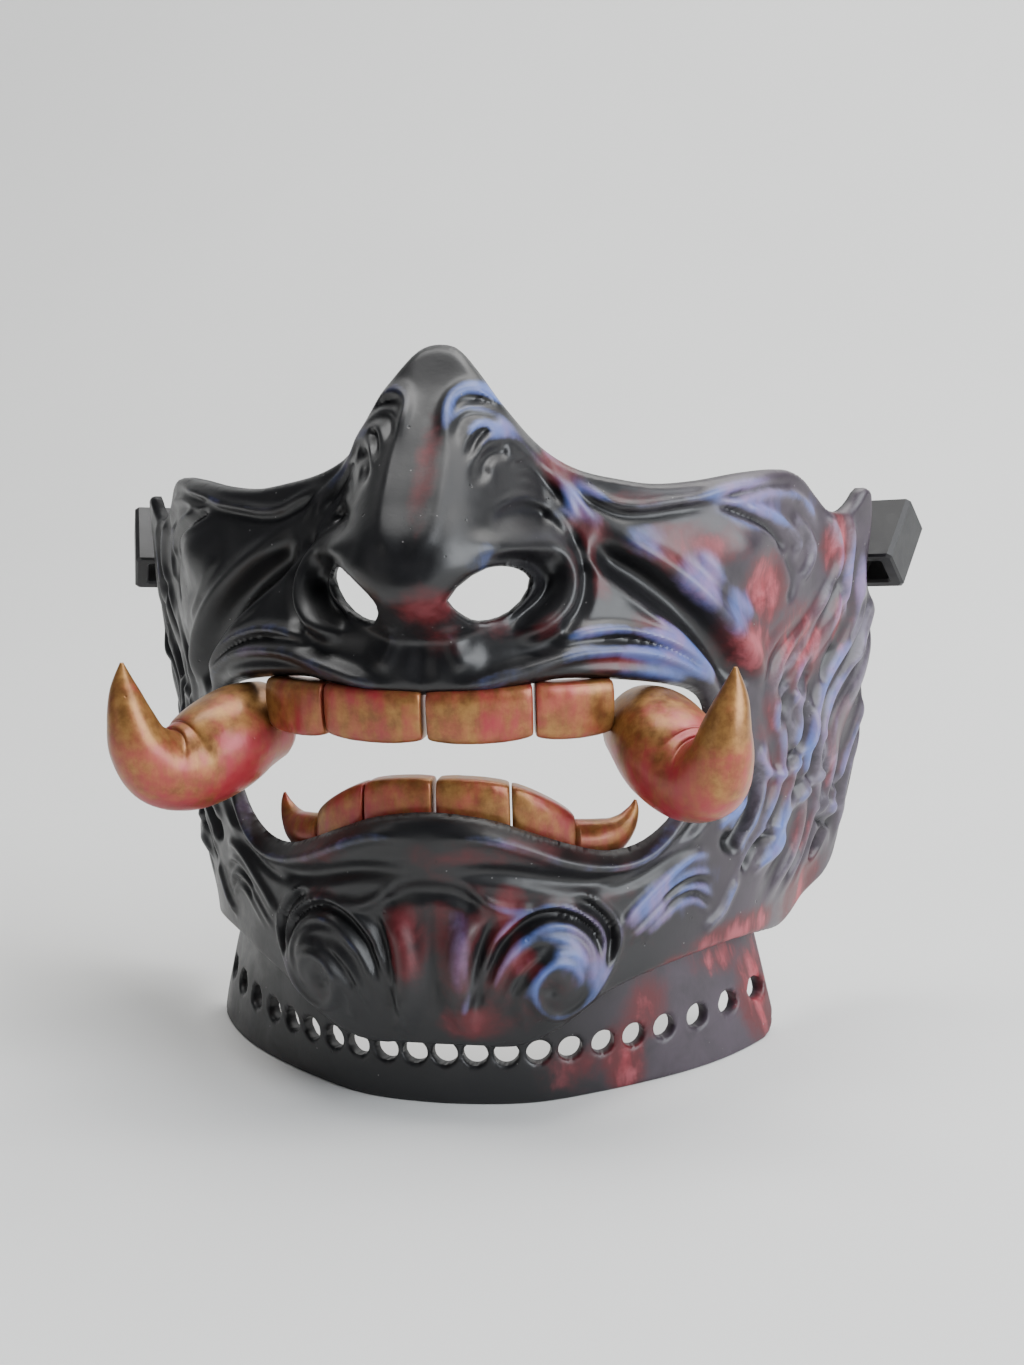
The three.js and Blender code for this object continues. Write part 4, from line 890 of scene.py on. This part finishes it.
def lacquer(name, rough):
    n = Nodes(name)
    broad = n.noise(42, 4, 0.6, warp=0.6)
    mid = n.noise(150, 4, 0.65, warp=0.4)
    brush = n.noise(260, 3, 0.6, stretch=(0.5, 1.0, 0.22), turn=(0.0, 0.5, 0.0))
    fine = n.noise(1400, 2, 0.5)
    outside = n.attr('outside')
    crest, recess_shade = n.attr('crest'), n.attr('recess_shade')
    mottle = n.math('ADD', n.math('MULTIPLY', n.math('SUBTRACT', broad, 0.5), 0.9),
                    n.math('MULTIPLY', n.math('SUBTRACT', mid, 0.5), 0.7))
    red = n.math('ADD', n.attr('red'), mottle)
    # less red in the recesses: painted shading
    red = n.math('SUBTRACT', red, n.math('MULTIPLY', recess_shade, 0.45))
    red_wash = n.math('MULTIPLY', n.ramp(red, 0.20, 0.70), outside)
    red_dry = n.math('MULTIPLY', n.ramp(n.math('ADD', red, n.math('MULTIPLY', n.math('SUBTRACT', brush, 0.5), 1.6)), 0.52, 1.05), outside)
    # Painted highlight: violet-blue reflection of the sky, raised on the crests and kept out of the recesses as painted
    # shading.
    sky_sheen = n.math('ADD', n.attr('sky_sheen'), n.math('MULTIPLY', mottle, 0.45))
    sky_sheen = n.math('ADD', sky_sheen, n.math('MULTIPLY', n.math('SUBTRACT', crest, 0.35), 0.55))
    sky_sheen = n.math('SUBTRACT', sky_sheen, n.math('MULTIPLY', recess_shade, 0.7))
    sky_sheen = n.math('MULTIPLY', n.ramp(n.math('ADD', sky_sheen, n.math('MULTIPLY', n.math('SUBTRACT', brush, 0.5), 0.7)), 0.26, 0.95), outside)
    # 'side' is the lit right side: it carries the painted sheen and highlights below.
    side = n.attr('side')
    colour = n.mix(n.ramp(broad, 0.3, 0.75), (0.0035, 0.0035, 0.0045), (0.007, 0.0065, 0.008))
    # Painted sheen: a grey-mauve lift over the lit right side, held out of the recesses as painted shading.
    lit_side_sheen = n.math('MULTIPLY', n.math('SUBTRACT', side, n.math('MULTIPLY', recess_shade, 0.9), clamp=True), n.ramp(mid, 0.2, 0.7, 0.45, 1.0))
    colour = n.mix(lit_side_sheen, colour, (0.050, 0.036, 0.050))
    colour = n.mix(n.math('MULTIPLY', red_wash, 0.92), colour, (0.078, 0.004, 0.007))
    # Red drybrush paint, raised much more on the lit right side: real red paint, with its fall-off to the left painted
    # shading.
    red_dry_lit_side = n.math('MULTIPLY', red_dry, n.math('ADD', 0.22, n.math('MULTIPLY', side, 0.68)))
    colour = n.mix(red_dry_lit_side, colour, n.mix(n.ramp(mid, 0.35, 0.65), (0.30, 0.022, 0.035), (0.40, 0.085, 0.105)))
    # Painted highlight: pale grey-violet on the crests of the lit right side.
    crest_highlight = n.math('MULTIPLY', n.math('MULTIPLY', crest, side), n.ramp(mid, 0.35, 0.7, 0.15, 0.75))
    colour = n.mix(crest_highlight, colour, (0.23, 0.20, 0.27))
    # lay on the painted violet-blue sky reflection
    colour = n.mix(n.math('MULTIPLY', sky_sheen, 0.85), colour, n.mix(n.ramp(broad, 0.46, 0.66), (0.085, 0.145, 0.42), (0.25, 0.17, 0.35)))
    speck = n.math('LESS_THAN', n.cells(230), 0.045)
    colour = n.mix(n.math('MULTIPLY', speck, 0.5), colour, (0.20, 0.19, 0.19))
    # Paler grey on the highest crests.
    pale_crests = n.math('MULTIPLY', n.ramp(n.math('ADD', crest, n.math('MULTIPLY', n.math('SUBTRACT', mid, 0.5), 0.9)), 0.75, 1.15), outside)
    colour = n.mix(n.math('MULTIPLY', pale_crests, 0.12), colour, (0.12, 0.11, 0.12))
    n.put(n.skin.inputs['Base Color'], colour)
    gloss = n.math('ADD', n.ramp(mid, 0.25, 0.8, rough - 0.06, rough + 0.08), n.math('MULTIPLY', red_dry, 0.10))
    gloss = n.math('ADD', gloss, n.math('MULTIPLY', n.math('SUBTRACT', 1.0, outside), 0.25), clamp=True)
    n.put(n.skin.inputs['Roughness'], gloss)
    n.skin.inputs['Specular IOR Level'].default_value = 0.5
    n.skin.inputs['Coat Weight'].default_value = 0.06
    n.skin.inputs['Coat Roughness'].default_value = 0.25
    pits = n.ramp(n.cells(150), 0.03, 0.07)
    n.bump((pits, 0.5, 0.0002), (brush, 0.10, 0.0004), (fine, 0.12, 0.0001))
    return n.mat


def tooth_paint(name, red_amount, low_z, high_z):
    """Bronze-gold with a red glaze that thins out towards the tips."""
    n = Nodes(name)
    broad = n.noise(70, 3, 0.6, warp=0.5)
    mid = n.noise(320, 4, 0.65)
    streak = n.noise(380, 3, 0.6, stretch=(1.0, 1.0, 0.18))
    sep = n.tree.nodes.new('ShaderNodeSeparateXYZ')
    n.tree.links.new(n.coord, sep.inputs[0])
    tip = n.ramp(sep.outputs['Z'], low_z / 1000, high_z / 1000)
    glaze = n.math('ADD', n.math('MULTIPLY', n.math('SUBTRACT', broad, 0.5), 2.2), n.math('MULTIPLY', n.math('SUBTRACT', streak, 0.5), 0.9))
    glaze = n.math('ADD', glaze, red_amount)
    glaze = n.math('SUBTRACT', glaze, n.math('MULTIPLY', tip, 0.75))
    glaze = n.ramp(glaze, 0.15, 0.95)
    colour = n.mix(n.ramp(mid, 0.3, 0.75), (0.20, 0.085, 0.026), (0.38, 0.19, 0.055))
    colour = n.mix(n.math('MULTIPLY', glaze, 0.88), colour, (0.34, 0.014, 0.035))
    # Darker brown patches at random in the paint.
    dark_patches = n.math('MULTIPLY', n.ramp(n.noise(120, 4, 0.7), 0.5, 0.8), 0.35)
    colour = n.mix(dark_patches, colour, (0.055, 0.020, 0.010))
    n.put(n.skin.inputs['Base Color'], colour)
    n.put(n.skin.inputs['Metallic'], n.ramp(glaze, 0.0, 1.0, 0.55, 0.2))
    n.put(n.skin.inputs['Roughness'], n.ramp(mid, 0.2, 0.8, 0.30, 0.48))
    n.skin.inputs['Coat Weight'].default_value = 0.15
    n.skin.inputs['Coat Roughness'].default_value = 0.2
    n.bump((n.ramp(n.cells(180), 0.02, 0.06), 0.35, 0.0002), (streak, 0.22, 0.0004), (n.noise(1300, 2), 0.1, 0.0001))
    return n.mat


def resin(name):
    n = Nodes(name)
    mid = n.noise(180, 4, 0.6)
    colour = n.mix(n.ramp(mid, 0.3, 0.8), (0.008, 0.008, 0.009), (0.022, 0.020, 0.022))
    rub = n.ramp(n.noise(480, 3, 0.6), 0.62, 0.8)
    colour = n.mix(n.math('MULTIPLY', rub, 0.25), colour, (0.10, 0.095, 0.10))
    n.put(n.skin.inputs['Base Color'], colour)
    n.put(n.skin.inputs['Roughness'], n.ramp(mid, 0.2, 0.8, 0.38, 0.55))
    n.bump((n.noise(160, 2), 0.12, 0.0006), (n.noise(1200, 2), 0.15, 0.0001))
    return n.mat


face_mat = lacquer('lacquer_face', 0.40)
band_mat = lacquer('lacquer_band', 0.44)
tooth_mat = tooth_paint('tooth_bronze', 0.48, 200, 300)
tusk_mat = tooth_paint('tusk_bronze', 0.72, 70, 92)
block_mat = resin('strap_resin')
LOOK = {'tooth_paint': tooth_mat, 'tusk_paint': tusk_mat, 'bare_resin': block_mat}
for ob, node, where in parts:
    ob.data.materials.append(face_mat if ob is shell else band_mat if ob is band else LOOK[where])
    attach(ob, 'root')
    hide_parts(node)

# -------------------------------------------------------------------- stage
profile = [(-1.6, 0.0)] + [(0.25, 0.0)] + [
    (0.25 + 0.9 * math.sin(t), 0.9 - 0.9 * math.cos(t)) for t in np.linspace(0.05, math.pi / 2, 24)] + [(1.15, 3.2)]
verts = [(x, y, h) for y, h in profile for x in (-3.0, 3.0)]
quads = [(2 * k, 2 * k + 1, 2 * k + 3, 2 * k + 2) for k in range(len(profile) - 1)]
mesh = bpy.data.meshes.new('backdrop')
mesh.from_pydata(verts, [], quads)
mesh.polygons.foreach_set('use_smooth', [True] * len(quads))
floor = bpy.data.objects.new('backdrop', mesh)
bpy.context.scene.collection.objects.link(floor)
n = Nodes('pale_paper')
n.put(n.skin.inputs['Base Color'], n.mix(n.ramp(n.noise(2.5, 3), 0.3, 0.7), (0.70, 0.70, 0.69), (0.73, 0.73, 0.72)))
n.put(n.skin.inputs['Roughness'], n.ramp(n.noise(30, 3), 0.3, 0.7, 0.85, 0.95))
n.bump((n.noise(900, 2), 0.05, 0.0002))
mesh.materials.append(n.mat)


def lamp(name, at, aim, size, power, colour):
    data = bpy.data.lights.new(name, 'AREA')
    data.shape, data.size, data.size_y = 'RECTANGLE', size[0], size[1]
    data.energy, data.color = power, colour
    ob = bpy.data.objects.new(name, data)
    ob.location = at
    ob.rotation_mode = 'QUATERNION'
    ob.rotation_quaternion = (Vector(aim) - Vector(at)).to_track_quat('-Z', 'Y')
    bpy.context.scene.collection.objects.link(ob)


lamp('key', (0.95, -0.42, 0.60), (0, 0, 0.08), (0.8, 1.0), 22, (0.92, 0.96, 1.0))
lamp('top', (0.45, 0.45, 1.25), (0, 0, 0.08), (1.0, 0.7), 9, (1.0, 0.99, 0.97))
lamp('fill', (-0.9, -0.9, 0.35), (0, 0, 0.08), (0.4, 0.8), 0.8, (1.0, 0.97, 0.94))
lamp('wall', (0.0, 0.25, 2.6), (0, 1.0, 0.3), (2.6, 0.9), 62, (1.0, 1.0, 0.99))

world = bpy.data.worlds.new('studio')
bpy.context.scene.world = world
world.use_nodes = True
back = world.node_tree.nodes.get('Background') or world.node_tree.nodes.new('ShaderNodeBackground')
back.inputs['Color'].default_value = (0.80, 0.84, 0.90, 1.0)
back.inputs['Strength'].default_value = 0.14

# ------------------------------------------------------------------- camera
cam = bpy.data.cameras.new('camera')
cam.sensor_width, cam.lens = 36.0, 46.154
cam.clip_start, cam.clip_end = 0.01, 20.0
eye = bpy.data.objects.new('camera', cam)
fwd = Vector((-0.18763908, 0.96488124, -0.18383628))
right = Vector((0.98220096, 0.18594286, -0.02658074))
up = Vector((-0.00853579, 0.18555175, 0.98259742))
at = Vector((0.080804, -0.368937, 0.152327))
eye.matrix_world = Matrix((
    (right.x, up.x, -fwd.x, at.x), (right.y, up.y, -fwd.y, at.y), (right.z, up.z, -fwd.z, at.z), (0, 0, 0, 1)))
bpy.context.scene.collection.objects.link(eye)
bpy.context.scene.camera = eye

bpy.context.view_layer.update()
